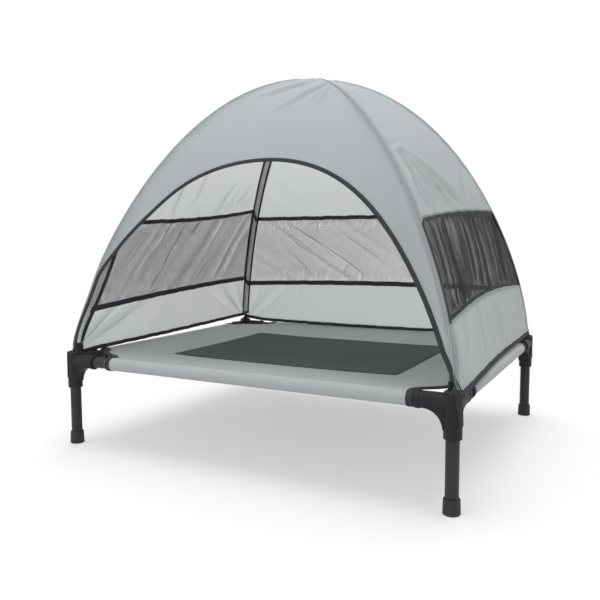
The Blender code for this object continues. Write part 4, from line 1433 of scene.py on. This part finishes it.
# How far from the ridge the strip is sewn down and its tape lies: at the foot, 15 cm higher and over
# the window. Beside the door both lie further off.
SEWN_GAP = {
    ("front_left", "left"): (0.017, 0.027, 0.0090),
    ("front_left", "front"): (0.0255, 0.0255, 0.0255),
}
TAPE_GAP = {("front_left", "left"): (0.023, 0.036, 0.0128)}
TAPE_WIDE = {("front_left", "left"): 0.0120}
PLAIN_SEWN_GAP, PLAIN_TAPE_GAP, PLAIN_TAPE_WIDE = (0.0090,) * 3, (0.0128,) * 3, 0.0092
WINDOW_EDGE = band_section(0.0150, 0.0012)
SLEEVE_FOOT = {"front_left": 0.246, "front_right": 0.256, "rear_left": 0.250, "rear_right": 0.250}


def gap_at(gaps, height):
    """A gap that changes with the height.

    It goes evenly from its first value at the foot to its second 15 cm higher, and then smoothly to
    its third over the window.
    """
    level = CANOPY_HEIGHT * height
    beside = gaps[0] + (gaps[1] - gaps[0]) * np.clip((level - 0.010) / 0.150, 0.0, 1.0)
    return beside + (gaps[2] - beside) * smooth_step(level, 0.19, 0.33)


def sewn_points(corner, side, height):
    """Where the strip's edge lies on a panel's inner face.

    On the front panel it lies behind the door's binding where that is nearer to the ridge.
    """
    gap = gap_at(SEWN_GAP.get((corner, side), PLAIN_SEWN_GAP), height)
    depth = np.full_like(height, 0.0011)
    if side == "front":
        door = door_gap(corner, height)
        near = np.clip((0.034 - door) / 0.010, 0.0, 1.0)
        gap = np.minimum(gap, door - 0.0020)
        depth = depth + 0.0012 * near
    across, share = beside_ridge(corner, side, height, gap)
    return gore(side, across, share) - gore_normals(side, across, share) * depth[:, None]


def sleeve_section(first, arc, last):
    """One coordinate of the strip: straight from the first edge to the arc, and on to the last."""
    first, last = first[:, None], last[:, None]
    run = np.linspace(0, 1, 6)[None, :-1]
    start = first + (arc[:, :1] - first) * run
    end = (last + (arc[:, -1:] - last) * run)[:, ::-1]
    return np.concatenate([start, arc, end], axis=1)


def pole_sleeve(corner, lower):
    """The strip: straight from one panel to the pole, round it as an arc, and on to the other panel.

    In the plane square to the pole, the arc ends where the line to the sewn edge leaves the circle.
    """
    height = ridge_heights(corner, share_of(SLEEVE_FOOT[corner]), 0.999, 230)
    points, tangent, normal = ridge_frame(corner, height)
    level = points @ ridge_out(corner)
    dip = lower * 0.0075 * np.exp(-((level / 0.15) ** 2))
    centre = points - corner_flare(corner, height) - normal * (RIDGE_OFFSET + dip)[:, None]
    kept = centre @ ridge_out(corner) > 0.058
    side_step = np.cross(tangent, normal)
    sewn = [sewn_points(corner, side, height) for side in sides_of(corner)]
    ends = []
    for edge in sewn:
        wide = np.sum((edge - centre) * side_step, axis=1)
        deep = -np.sum((edge - centre) * normal, axis=1)
        ends.append((wide, deep))
    if ends[0][0].mean() > ends[1][0].mean():
        ends = ends[::-1]
    arcs = []
    for (wide, deep), way in zip(ends, (-1, 1)):
        far = np.maximum(np.hypot(wide, deep), SLEEVE_OUT * 1.02)
        turn = np.arctan2(way * wide, deep) - np.arccos(SLEEVE_OUT / far)
        arcs.append(way * turn)
    share = np.linspace(0, 1, 15)[None, :]
    turn = arcs[0][:, None] + (arcs[1] - arcs[0])[:, None] * share
    wide = sleeve_section(ends[0][0], SLEEVE_OUT * np.sin(turn), ends[1][0])
    deep = sleeve_section(ends[0][1], SLEEVE_OUT * np.cos(turn), ends[1][1])
    strip = centre[:, None] + wide[..., None] * side_step[:, None]
    strip = strip - deep[..., None] * normal[:, None]
    return strip[kept], centre[kept], height[kept], normal[kept]


for corner in CORNERS:
    lower = corner in LOWER_POLE_CORNERS
    strip, centre, height, normal = pole_sleeve(corner, lower)
    if np.sum(normals_of(strip) * (strip - centre[:, None])) < 0:
        strip = strip[:, ::-1]
    cloth_piece(
        f"pole_sleeve_cloth_{corner}",
        strip,
        THIN_THICK,
        SLEEVE_CLOTH,
        CANOPY_BODY,
        [f"pole_sleeve_{corner}"],
        "light_canopy_fabric",
        "stretched",
        [f"{'lower' if lower else 'upper'}_pole_{corner}"],
    )
    for side in sides_of(corner):
        if side == "front":
            continue
        rows = ridge_heights(corner, HEM_SHARE[corner] + BAND_START, float(height[-1]), 200)
        gap = gap_at(TAPE_GAP.get((corner, side), PLAIN_TAPE_GAP), rows)
        section = band_section(TAPE_WIDE.get((corner, side), PLAIN_TAPE_WIDE), 0.0013)
        ridge_band(f"sleeve_tape_{side}_{corner}", corner, side, rows, gap, section, 0.0017)
        end = np.array(0.0 if SIDES[side][0] == corner else 1.0)
        limits = [float(share_of(seam_height(side, seam, end))) for seam in ("low", "top")]
        rows = ridge_heights(corner, limits[0] + 0.002, limits[1] - 0.002, 90)
        ridge_band(
            f"window_edge_{side}_{corner}", corner, side, rows, 0.0084, WINDOW_EDGE, -0.0010
        )
print("pole sleeves made")

# %% Tapes over the rear sleeves
def corner_link(corner, seam, width):
    """A short tape that carries a seam's tape over the sleeve's crown to the other panel."""
    ends = []
    for side in sides_of(corner):
        end = np.array(0.0 if SIDES[side][0] == corner else 1.0)
        level = float(share_of(seam_height(side, seam, end)))
        height = np.array([level - 0.001, level, level + 0.001])
        across, share = beside_ridge(corner, side, height, 0.0145)
        ends.append((gore(side, across, share) - gore_normals(side, across, share) * 0.0034)[1])
    middle = (share_of(ends[0][2]) + share_of(ends[1][2])) / 2
    points, _, normal = ridge_frame(corner, np.array([middle - 0.001, middle, middle + 0.001]))
    crown = points[1] - normal[1] * (RIDGE_OFFSET + SLEEVE_OUT + 0.0016)
    share = np.linspace(0, 1, 21)[:, None]
    bend = 2 * crown - (ends[0] + ends[1]) / 2
    line = (1 - share) ** 2 * ends[0] + 2 * share * (1 - share) * bend + share**2 * ends[1]
    inner = -normal[1] + (line - crown) * 20 * np.array([1.0, 1.0, 0.0])
    inner /= np.linalg.norm(inner, axis=1, keepdims=True)
    section = band_section(width, 0.0014)
    return band(f"link_{seam}_{corner}", line, inner, section, TAPE, CANOPY_BODY)


for corner in ("rear_left", "rear_right"):
    corner_link(corner, "top", 0.0092)
    corner_link(corner, "low", 0.0110)
print("links made")

# %% [markdown]
# ## Front panel and door
#
# The front gore is one piece of cloth from the top down both ridges, with the door cut out of it.
# The grid runs along the door's arch one way and from the arch to the ridges the other way, so the
# cloth's edge follows the arch exactly. Short bright folds fan out below the top, where the two
# poles push the cloth up.

# %% Front panel
def front_shares(x, z):
    """Across and height shares of a point on the front gore, from its x and z."""
    height = share_of(z)
    left, right_ = (ridge_points(corner, height) for corner in SIDES["front"])
    return (x - left[..., 0]) / np.maximum(right_[..., 0] - left[..., 0], 1e-6), height


def front_outer(around):
    """The front panel's outer edge up one ridge and down the other."""
    base = share_of(FRONT_HEM)
    height = base + (0.9997 - base) * (1 - np.abs(around) ** 2)
    left, right_ = (ridge_points(corner, height) for corner in SIDES["front"])
    x = np.where(around < 0, left[..., 0] + 0.0012, right_[..., 0] - 0.0012)
    x = np.where(np.abs(around) < 1e-9, (left[..., 0] + right_[..., 0]) / 2, x)
    return np.stack([x, POLE_BASE + CANOPY_HEIGHT * height], axis=-1)


FRONT_FOLDS = np.array(
    [
        (0.036, 0.866, -0.100, 0.829, 0.0060, 0.0062),
        (0.030, 0.862, -0.085, 0.822, 0.0050, -0.0035),
        (0.068, 0.856, -0.034, 0.782, 0.0062, 0.0066),
        (0.070, 0.850, -0.010, 0.782, 0.0060, -0.0035),
        (0.080, 0.844, 0.074, 0.783, 0.0065, 0.0062),
        (0.086, 0.842, 0.040, 0.800, 0.0050, 0.0035),
        (0.104, 0.834, 0.091, 0.802, 0.0055, 0.0040),
        (0.010, 0.872, -0.060, 0.850, 0.0050, 0.0035),
        (-0.330, 0.560, -0.215, 0.700, 0.0220, 0.0018),
        (0.350, 0.520, 0.245, 0.690, 0.0240, 0.0018),
        (0.300, 0.640, 0.330, 0.560, 0.0120, -0.0012),
    ]
)
# How far a front fold dips where its painted crease shade is darkest
FRONT_CREASE_DEPTH = 0.011
turns = np.linspace(-1.0, 1.0, 401)
inner = door_arch(turns, 0.002)
outer = front_outer(turns)
share = (np.linspace(0.0, 1.0, 96) ** 0.9)[:, None, None]
flat_front = inner + (outer - inner) * share
across, height = front_shares(flat_front[..., 0], flat_front[..., 1])
lift = folds(flat_front[..., 0], flat_front[..., 1], FRONT_FOLDS)
lift = lift + waviness(flat_front[..., 0], flat_front[..., 1], 11, 0.26, 0.0024, 1.5)
lift = lift * calm(across, height, "front", 0.008) * np.clip(share[..., 0] * 12, 0, 1)
# The front's folds carry painted shade in their valleys, for the finish to darken
front_points, crease = faces_outward(
    side_sheet("front", across, height, lift), DOME_MIDDLE, crease_shade_of(lift, FRONT_CREASE_DEPTH)
)
cloth_piece(
    "front_cloth",
    front_points,
    CLOTH_THICK,
    CANOPY_CLOTH,
    CANOPY_BODY,
    ["canopy_front_panel"],
    "light_canopy_fabric",
    "stretched",
    ["upper_pole_middle"],
    cut=(1.80, 0.26),
    crease=crease,
)
print("front panel", front_points.shape)

# %% Door binding
turns = np.linspace(-1.0, 1.0, 360)
arch = door_arch(turns, 0.001)
across, height = front_shares(arch[:, 0], arch[:, 1])
arch_normals = gore_normals("front", across, height)
arch_line = gore("front", across, height)
band(
    "door_binding",
    arch_line,
    arch_normals,
    band_section(0.0095, 0.0028, 7),
    TAPE,
    CANOPY_BODY,
    ["door_arch_tape"],
)
for corner, way in (("front_left", -1), ("front_right", 1)):
    ridge_x = float(ridge_points(corner, share_of(FRONT_HEM) * np.ones(1))[0, 0])
    x = np.linspace(way * DOOR_HALF_WIDTH, ridge_x - way * 0.0010, 12)
    drop = SEAMS["left" if way < 0 else "right"]["hem"]
    end = POLE_BASE + drop[0] + drop[3]
    z = FRONT_HEM + (end - FRONT_HEM) * np.linspace(0, 1, 12) ** 1.5
    across, height = front_shares(x, z)
    normals = gore_normals("front", across, height)
    band(
        f"front_hem_{corner}",
        gore("front", across, height),
        normals,
        band_section(0.0092, 0.0029, 7),
        TAPE,
        CANOPY_BODY,
    )
door_row = door_arch(turns, 0.0038)
across, height = front_shares(door_row[:, 0], door_row[:, 1])
row_normals = gore_normals("front", across, height)
for way, name in ((1, "outer"), (-1, "inner")):
    row = gore("front", across, height) + row_normals * 0.0016 * way
    stitches(f"door_stitches_{name}", row, row_normals * way, CANOPY_BODY)
print("door binding made")

# %% [markdown]
# ## Corner straps
#
# At each corner a strap of webbing comes off the canopy's hem, bends over the connector's top edge
# and lies flat down its outer face, and holds the canopy on the frame. At the front right the hem
# itself hangs over the edge, so only the strap's straight part shows below it, a little slewed to
# the side.

# %% Straps
STRAP_OVER_TOP = [
    (0.0034, 0.2285),
    (0.0078, 0.2243),
    (0.0122, 0.2231),
    (0.0156, 0.2226),
    (0.0171, 0.2208),
    (0.0175, 0.2165),
    (0.0175, 0.1900),
    (0.0175, 0.1605),
]
STRAP_UNDER_HEM = [
    (0.0204, 0.2270),
    (0.0192, 0.2205),
    (0.0179, 0.2145),
    (0.0175, 0.2080),
    (0.0175, 0.1850),
    (0.0175, 0.1605),
]


def corner_strap(corner, keys, slew):
    """Webbing along a path of distances out and heights.

    The path is turned about the leg by a slew that grows downwards.
    """
    side_x, side_y = CORNERS[corner]
    keys = np.array(keys)
    spots = np.linspace(0, len(keys) - 1, 64)
    out = np.interp(spots, np.arange(len(keys)), keys[:, 0])
    up_ = np.interp(spots, np.arange(len(keys)), keys[:, 1])
    down = np.clip((0.216 - up_) / 0.050, 0.0, 1.0)
    turn = math.atan2(side_y, side_x) + slew * down
    away = np.stack([np.cos(turn), np.sin(turn), 0 * turn], axis=1)
    line = np.array([side_x * LEG_X, side_y * LEG_Y, 0.0]) + out[:, None] * away
    line[:, 2] = up_
    slope = np.stack([np.gradient(out), np.gradient(up_)], axis=1)
    slope /= np.linalg.norm(slope, axis=1, keepdims=True)
    normal = -slope[:, 1:] * away
    normal[:, 2] = slope[:, 0]
    section = band_section(0.014, 0.0013)
    bowed = section + np.stack([0 * section[:, 0], -(section[:, 0] ** 2) / 0.036], axis=1)
    node = f"corner_strap_{corner}"
    return band(f"strap_{corner}", line, normal, bowed, TAPE, CANOPY_BODY, [node])


corner_strap("front_right", STRAP_UNDER_HEM, math.radians(30))
for corner, slew in (("front_left", -6), ("rear_left", 4), ("rear_right", -8)):
    corner_strap(corner, STRAP_OVER_TOP, math.radians(slew))
print("straps made")

# %% [markdown]
# ## Bed
#
# The bed is one heavy cloth with a sleeve along each side for the rails, and a darker panel sewn on
# its middle. The corners are cut off in an edge that bows outwards and is bound with tape. The flat
# part hangs a little between the rails. A sleeve is the cloth's edge folded round the tube and sewn
# to itself underneath, so its section is a drop: a circle that runs out into the sheet.

# %% Bed cloth
RAIL_Z, SLEEVE_R = 0.201, 0.01395
BED_TOP = RAIL_Z + SLEEVE_R
BED_SAG, SEAM_INSET = 0.017, 0.021
CUT_X, CUT_Y, CUT_SHIFT, CUT_BOW, CUT_STRAIGHT = 0.093, 0.097, 0.020, 0.0165, 0.017
SIDE_END = LEG_Y - CUT_Y
FLAP_COUNT, SIDE_COUNT, BED_COUNT = 8, 121, 190


def bed_height(x, y):
    """Level with the sleeves' tops at the rails, and lower between by a product of fourth powers."""
    hang = (1 - (x / LEG_X) ** 4) * (1 - (y / LEG_Y) ** 4)
    return BED_TOP - BED_SAG * np.clip(hang, 0.0, 1.0)


def bed_ripple(x, y):
    """The bed's own low waves, which the panel and the stitches on it follow."""
    return waviness(x, y, 5, 0.25, 0.0007, 3.0)


def cut_edge(side_x, side_y, count=60):
    """The edge of one cut corner, from the side sleeve to the front or rear one, in x and y.

    It is a line that bows outwards, most at a third of its way, and leaves the front or rear sleeve
    without a bend: the bow is 27/4 of the share times the square of what is left of it.
    """
    start = np.array([side_x * (LEG_X - CUT_STRAIGHT), side_y * SIDE_END])
    end = np.array([side_x * (LEG_X - CUT_X) + CUT_SHIFT, side_y * (LEG_Y - CUT_STRAIGHT)])
    outward = np.array([side_x, side_y]) / math.sqrt(2)
    share = np.linspace(0, 1, count)[:, None]
    return start + (end - start) * share + outward * CUT_BOW * 27 / 4 * share * (1 - share) ** 2


def bed_limit(side_x, y):
    """How far the flat cloth reaches at a depth y: to the side's seam or the cut corner's edge."""
    seam = side_x * (LEG_X - SEAM_INSET)
    limit = np.full_like(y, seam)
    for side_y in (-1, 1):
        edge = cut_edge(side_x, side_y)
        depth, width = edge[:, 1] * side_y, edge[:, 0]
        limit = np.where(y * side_y > depth[0], np.interp(y * side_y, depth, width), limit)
    return np.minimum(limit, seam) if side_x > 0 else np.maximum(limit, seam)


def sleeve_profile(count=40):
    """The drop, from the seam over the top: inward distances from the rail's line, and heights.

    The first stretch has no height of its own, because it follows the bed's surface.
    """
    flap = np.linspace(SEAM_INSET, 0.004, FLAP_COUNT)
    turn = np.radians(np.linspace(76, 334, count))
    inward = np.concatenate([flap, SLEEVE_R * np.cos(turn), [SEAM_INSET - 0.001]])
    height = np.concatenate([np.zeros(FLAP_COUNT), SLEEVE_R * np.sin(turn), [np.nan]])
    return inward, height


def sleeve_grid(side_x, side_y, run):
    """Rows of a sleeve along one rail, from its seam round the tube and back to the seam below."""
    inward, height = (part[:, None] for part in sleeve_profile())
    run = np.broadcast_to(run[None, :], (len(inward), len(run)))
    if side_y:
        x, y = run, side_y * (LEG_Y - inward) + 0 * run
    else:
        x, y = side_x * (LEG_X - inward) + 0 * run, run
    surface = bed_height(x, y)
    z = np.where(np.arange(len(inward))[:, None] < FLAP_COUNT, surface, RAIL_Z + height)
    z = np.where(np.isnan(height), surface - 0.0016, z)
    return np.stack([x, y, z], axis=-1)


def bed_rows():
    """Depths of the flat cloth's rows, with one exactly at each end of the side sleeves."""
    corner = np.linspace(SIDE_END, LEG_Y - SEAM_INSET, 26)[1:]
    return np.concatenate([-corner[::-1], np.linspace(-SIDE_END, SIDE_END, SIDE_COUNT), corner])


bed_share = np.linspace(0, 1, BED_COUNT)
depths = bed_rows()[:, None]
low, high = bed_limit(-1, depths), bed_limit(1, depths)
flat_x = low + (high - low) * bed_share[None, :]
flat_y = np.broadcast_to(depths, flat_x.shape)
bed_waves = bed_ripple(flat_x, flat_y) * np.clip((LEG_Y - 0.03 - np.abs(flat_y)) / 0.05, 0, 1)
main_bed = np.stack([flat_x, flat_y, bed_height(flat_x, flat_y) + bed_waves], axis=-1)
front_sleeve = sleeve_grid(0, -1, main_bed[0, :, 0])
rear_sleeve = sleeve_grid(0, 1, main_bed[-1, :, 0])
bed_points = np.concatenate([front_sleeve[:0:-1], main_bed, rear_sleeve[1:]])
cloth_piece(
    "bed_cloth",
    bed_points,
    BED_THICK,
    BED_CLOTH,
    FRAME_BODY,
    ["bed_sheet"],
    "grey_bed_fabric",
    "stretched",
    ["front_rail", "rear_rail", "left_rail", "right_rail"],
)
print("bed cloth", bed_points.shape)

# %% Side sleeves
for name, side_x in (("left", -1), ("right", 1)):
    grid = sleeve_grid(side_x, 0, np.linspace(-SIDE_END, SIDE_END, SIDE_COUNT))
    if side_x > 0:
        grid = grid[:, ::-1]
    cloth_piece(
        f"bed_{name}_sleeve",
        grid,
        BED_THICK,
        BED_CLOTH,
        FRAME_BODY,
        [],
        "grey_bed_fabric",
        "stretched",
        [f"{name}_rail"],
    )
print("side sleeves made")

# %% Middle panel
PANEL_HALF, PANEL_LIFT = (0.2925, 0.2075), 0.0014
panel_x, panel_y = np.meshgrid(
    np.linspace(-PANEL_HALF[0], PANEL_HALF[0], 120),
    np.linspace(-PANEL_HALF[1], PANEL_HALF[1], 90),
)
panel_z = bed_height(panel_x, panel_y) + PANEL_LIFT + bed_ripple(panel_x, panel_y)
cloth_piece(
    "bed_middle_panel",
    np.stack([panel_x, panel_y, panel_z], axis=-1),
    BED_THICK,
    DARK_CLOTH,
    FRAME_BODY,
    ["bed_centre_panel"],
    "dark_bed_panel",
    "laid",
    ["bed_cloth"],
)
print("middle panel", panel_x.shape)

# %% Stitches of the bed
ROW_INSET = 0.0025


def bed_row(name, corners_xy, lift, material):
    """Stitches on the bed along straight lines between points in x and y."""
    corners_xy = np.array(corners_xy)
    share = np.linspace(0, len(corners_xy) - 1, 60 * (len(corners_xy) - 1) + 1)
    x, y = (np.interp(share, np.arange(len(corners_xy)), corners_xy[:, k]) for k in range(2))
    z = bed_height(x, y) + bed_ripple(x[None], y[None])[0] + lift
    line = np.stack([x, y, z], axis=1)
    upright = np.broadcast_to([0.0, 0.0, 1.0], line.shape)
    return stitches(name, line, upright, FRAME_BODY, material=material)


for number, inset in enumerate((0.0035, 0.0105)):
    half_x, half_y = PANEL_HALF[0] - inset, PANEL_HALF[1] - inset
    ring = [(-half_x, -half_y), (half_x, -half_y), (half_x, half_y), (-half_x, half_y)]
    bed_row(f"panel_stitches_{number + 1}", ring + ring[:1], 0.0022, DARK_THREAD)
seam_x, seam_y = LEG_X - SEAM_INSET - ROW_INSET, LEG_Y - SEAM_INSET - ROW_INSET
for name, ends_xy in {
    "front": [(-LEG_X + 0.115, -seam_y), (LEG_X - 0.075, -seam_y)],
    "rear": [(-LEG_X + 0.115, seam_y), (LEG_X - 0.075, seam_y)],
    "left": [(-seam_x, -SIDE_END + 0.004), (-seam_x, SIDE_END - 0.004)],
    "right": [(seam_x, -SIDE_END + 0.004), (seam_x, SIDE_END - 0.004)],
}.items():
    bed_row(f"bed_{name}_stitches", ends_xy, 0.0007, PALE_THREAD)
print("bed stitches made")

# %% Corner bindings of the bed
BINDING_INSET, BINDING_ROUNDS, BINDING_COUNT = 0.0042, 30, 180


def smooth_line(line, rounds):
    """The line with each inner point drawn half way to its neighbours' mean, for some rounds."""
    for _ in range(rounds):
        line = np.concatenate([line[:1], (line[:-2] + 2 * line[1:-1] + line[2:]) / 4, line[-1:]])
    return line


def even_line(line, values, count):
    """The values that belong to a line's points, taken at even steps of the line's length."""
    run = np.concatenate([[0.0], np.cumsum(np.linalg.norm(np.diff(line, axis=0), axis=1))])
    even = np.linspace(0, run[-1], count)
    return np.stack([np.interp(even, run, values[:, k]) for k in range(3)], axis=1)


def corner_binding(corner):
    """Tape round one corner's edge: the side sleeve's end, the cut, and the other sleeve's end."""
    side_x, side_y = CORNERS[corner]
    inward, height = sleeve_profile(60)
    loop = np.stack([inward, RAIL_Z + np.nan_to_num(height)], axis=1)[FLAP_COUNT:-1]
    edge = cut_edge(side_x, side_y) - BINDING_INSET * np.array([side_x, side_y]) / math.sqrt(2)
    flat = np.concatenate([edge, bed_height(edge[:, 0], edge[:, 1])[:, None]], axis=1)
    out_x, out_y = side_x * (LEG_X - loop[:, 0]), side_y * (LEG_Y - loop[:, 0])
    side_loop = np.stack([out_x, np.full(len(loop), edge[0, 1]), loop[:, 1]], axis=1)
    end_loop = np.stack([np.full(len(loop), edge[-1, 0]), out_y, loop[:, 1]], axis=1)
    line = np.concatenate([side_loop[::-1], flat, end_loop])
    axis = np.concatenate(
        [
            np.broadcast_to([side_x * LEG_X, edge[0, 1], RAIL_Z], side_loop.shape),
            flat - (0, 0, 1.0),
            np.broadcast_to([edge[-1, 0], side_y * LEG_Y, RAIL_Z], end_loop.shape),
        ]
    )
    normal = line - axis
    normal /= np.linalg.norm(normal, axis=1, keepdims=True)
    line, normal = smooth_line(line, BINDING_ROUNDS), smooth_line(normal, BINDING_ROUNDS)
    normal = even_line(line, normal, BINDING_COUNT)
    normal /= np.linalg.norm(normal, axis=1, keepdims=True)
    line = even_line(line, line, BINDING_COUNT) + normal * 0.0009
    section = band_section(0.0145, 0.0034)
    return band(f"bed_binding_{corner}", line, normal, section, TAPE, FRAME_BODY)


for corner in CORNERS:
    corner_binding(corner)
print("bed bindings made")

# %% [markdown]
# ## Floor, backdrop and light
#
# The photograph is cut out on white, so the floor is a pale disc that keeps the cot's soft shadow
# near it and fades into the white of the backdrop. The fade uses Light Path: rays from the camera
# see plain white further out, while the light that the floor throws up into the canopy stays that
# of a pale floor.

# %% Floor
FLOOR_STEPS = 64
turns = np.linspace(0, 2 * math.pi, FLOOR_STEPS + 1)[:-1]
radii = np.array([0.02, 0.4, 0.8, 1.3, 2.0, 3.2, 6.0])
floor_x, floor_y = radii[:, None] * np.cos(turns), radii[:, None] * np.sin(turns)
floor_points = np.stack([floor_x, floor_y, np.zeros_like(floor_x)], axis=-1)
index = np.arange(len(radii) * FLOOR_STEPS).reshape(-1, FLOOR_STEPS)
index = np.concatenate([index, index[:, :1]], axis=1)
floor_faces = np.stack([index[:-1, :-1], index[1:, :-1], index[1:, 1:], index[:-1, 1:]], axis=-1)
floor_faces = floor_faces.reshape(-1, 4).tolist() + [index[0, :FLOOR_STEPS].tolist()]
floor_mesh = bpy.data.meshes.new("floor")
floor_mesh.from_pydata(floor_points.reshape(-1, 3).tolist(), [], floor_faces)
floor = bpy.data.objects.new("floor", floor_mesh)
bpy.context.scene.collection.objects.link(floor)

ground = Finish("pale_floor", Roughness=0.9, Specular_IOR_Level=0.0)
spot = ground.place()
distance = ground.node("ShaderNodeVectorMath", {"operation": "LENGTH"}, spot, output="Value")
fade_start, fade_end = 0.62, 1.15
smooth = {"interpolation_type": "SMOOTHSTEP"}
faded = ground.node("ShaderNodeMapRange", smooth, distance, fade_start, fade_end, 0.0, 1.0)
rays = ground.node("ShaderNodeLightPath")
seen = rays.most(Value(ground, rays.socket.node.outputs["Is Glossy Ray"]))
seen = seen.most(Value(ground, rays.socket.node.outputs["Is Transmission Ray"]))
ground.set("Base Color", ground.blend(seen, (0.74, 0.74, 0.74), (0.95, 0.95, 0.95)))
white = ground.node("ShaderNodeEmission", None, (1.0, 1.0, 1.0, 1.0), 1.0)
mix = ground.node("ShaderNodeMixShader", None, seen * (faded * 0.58 + 0.42))
ground.tree.links.new(ground.shader.outputs[0], mix.socket.node.inputs[1])
ground.tree.links.new(white.socket, mix.socket.node.inputs[2])
ground.tree.links.new(mix.socket, ground.output.inputs["Surface"])
floor_mesh.materials.append(ground.material)
print("floor", len(floor_faces), "faces")

# %% World and lamps
world = bpy.data.worlds.new("white_room")
world.use_nodes = True
bpy.context.scene.world = world
sky = world.node_tree.nodes["Background"]
paths = world.node_tree.nodes.new("ShaderNodeLightPath")
sky.inputs["Color"].default_value = (1.0, 1.0, 1.0, 1.0)


def world_sum(operation, first, second):
    """A Math node in the world's tree, on numbers or sockets."""
    made = world.node_tree.nodes.new("ShaderNodeMath")
    made.operation = operation
    for socket, value in zip(made.inputs, (first, second)):
        if isinstance(value, (int, float)):
            socket.default_value = value
        else:
            world.node_tree.links.new(value, socket)
    return made.outputs[0]


SKY_LIGHT = 0.57
seen_sky = world_sum("MAXIMUM", paths.outputs["Is Camera Ray"], paths.outputs["Is Glossy Ray"])
seen_sky = world_sum("MAXIMUM", seen_sky, paths.outputs["Is Transmission Ray"])
strength = world_sum("ADD", world_sum("MULTIPLY", seen_sky, 1.0 - SKY_LIGHT), SKY_LIGHT)
world.node_tree.links.new(strength, sky.inputs["Strength"])


def soft_lamp(name, place, target, size, watts):
    """A large square lamp that faces a point."""
    data = bpy.data.lights.new(name, "AREA")
    data.shape, data.size, data.energy = "SQUARE", size, watts
    lamp = bpy.data.objects.new(name, data)
    bpy.context.scene.collection.objects.link(lamp)
    lamp.location = place
    lamp.rotation_euler = (Vector(target) - Vector(place)).to_track_quat("-Z", "Y").to_euler()
    return lamp


soft_lamp("window_lamp", (-0.1, 0.5, 4.4), (0.0, 0.0, 0.5), size=4.4, watts=152.0)
soft_lamp("front_lamp", (-1.2, -3.6, 1.5), (0.0, 0.0, 0.4), size=2.4, watts=21.0)
print("stage ready")
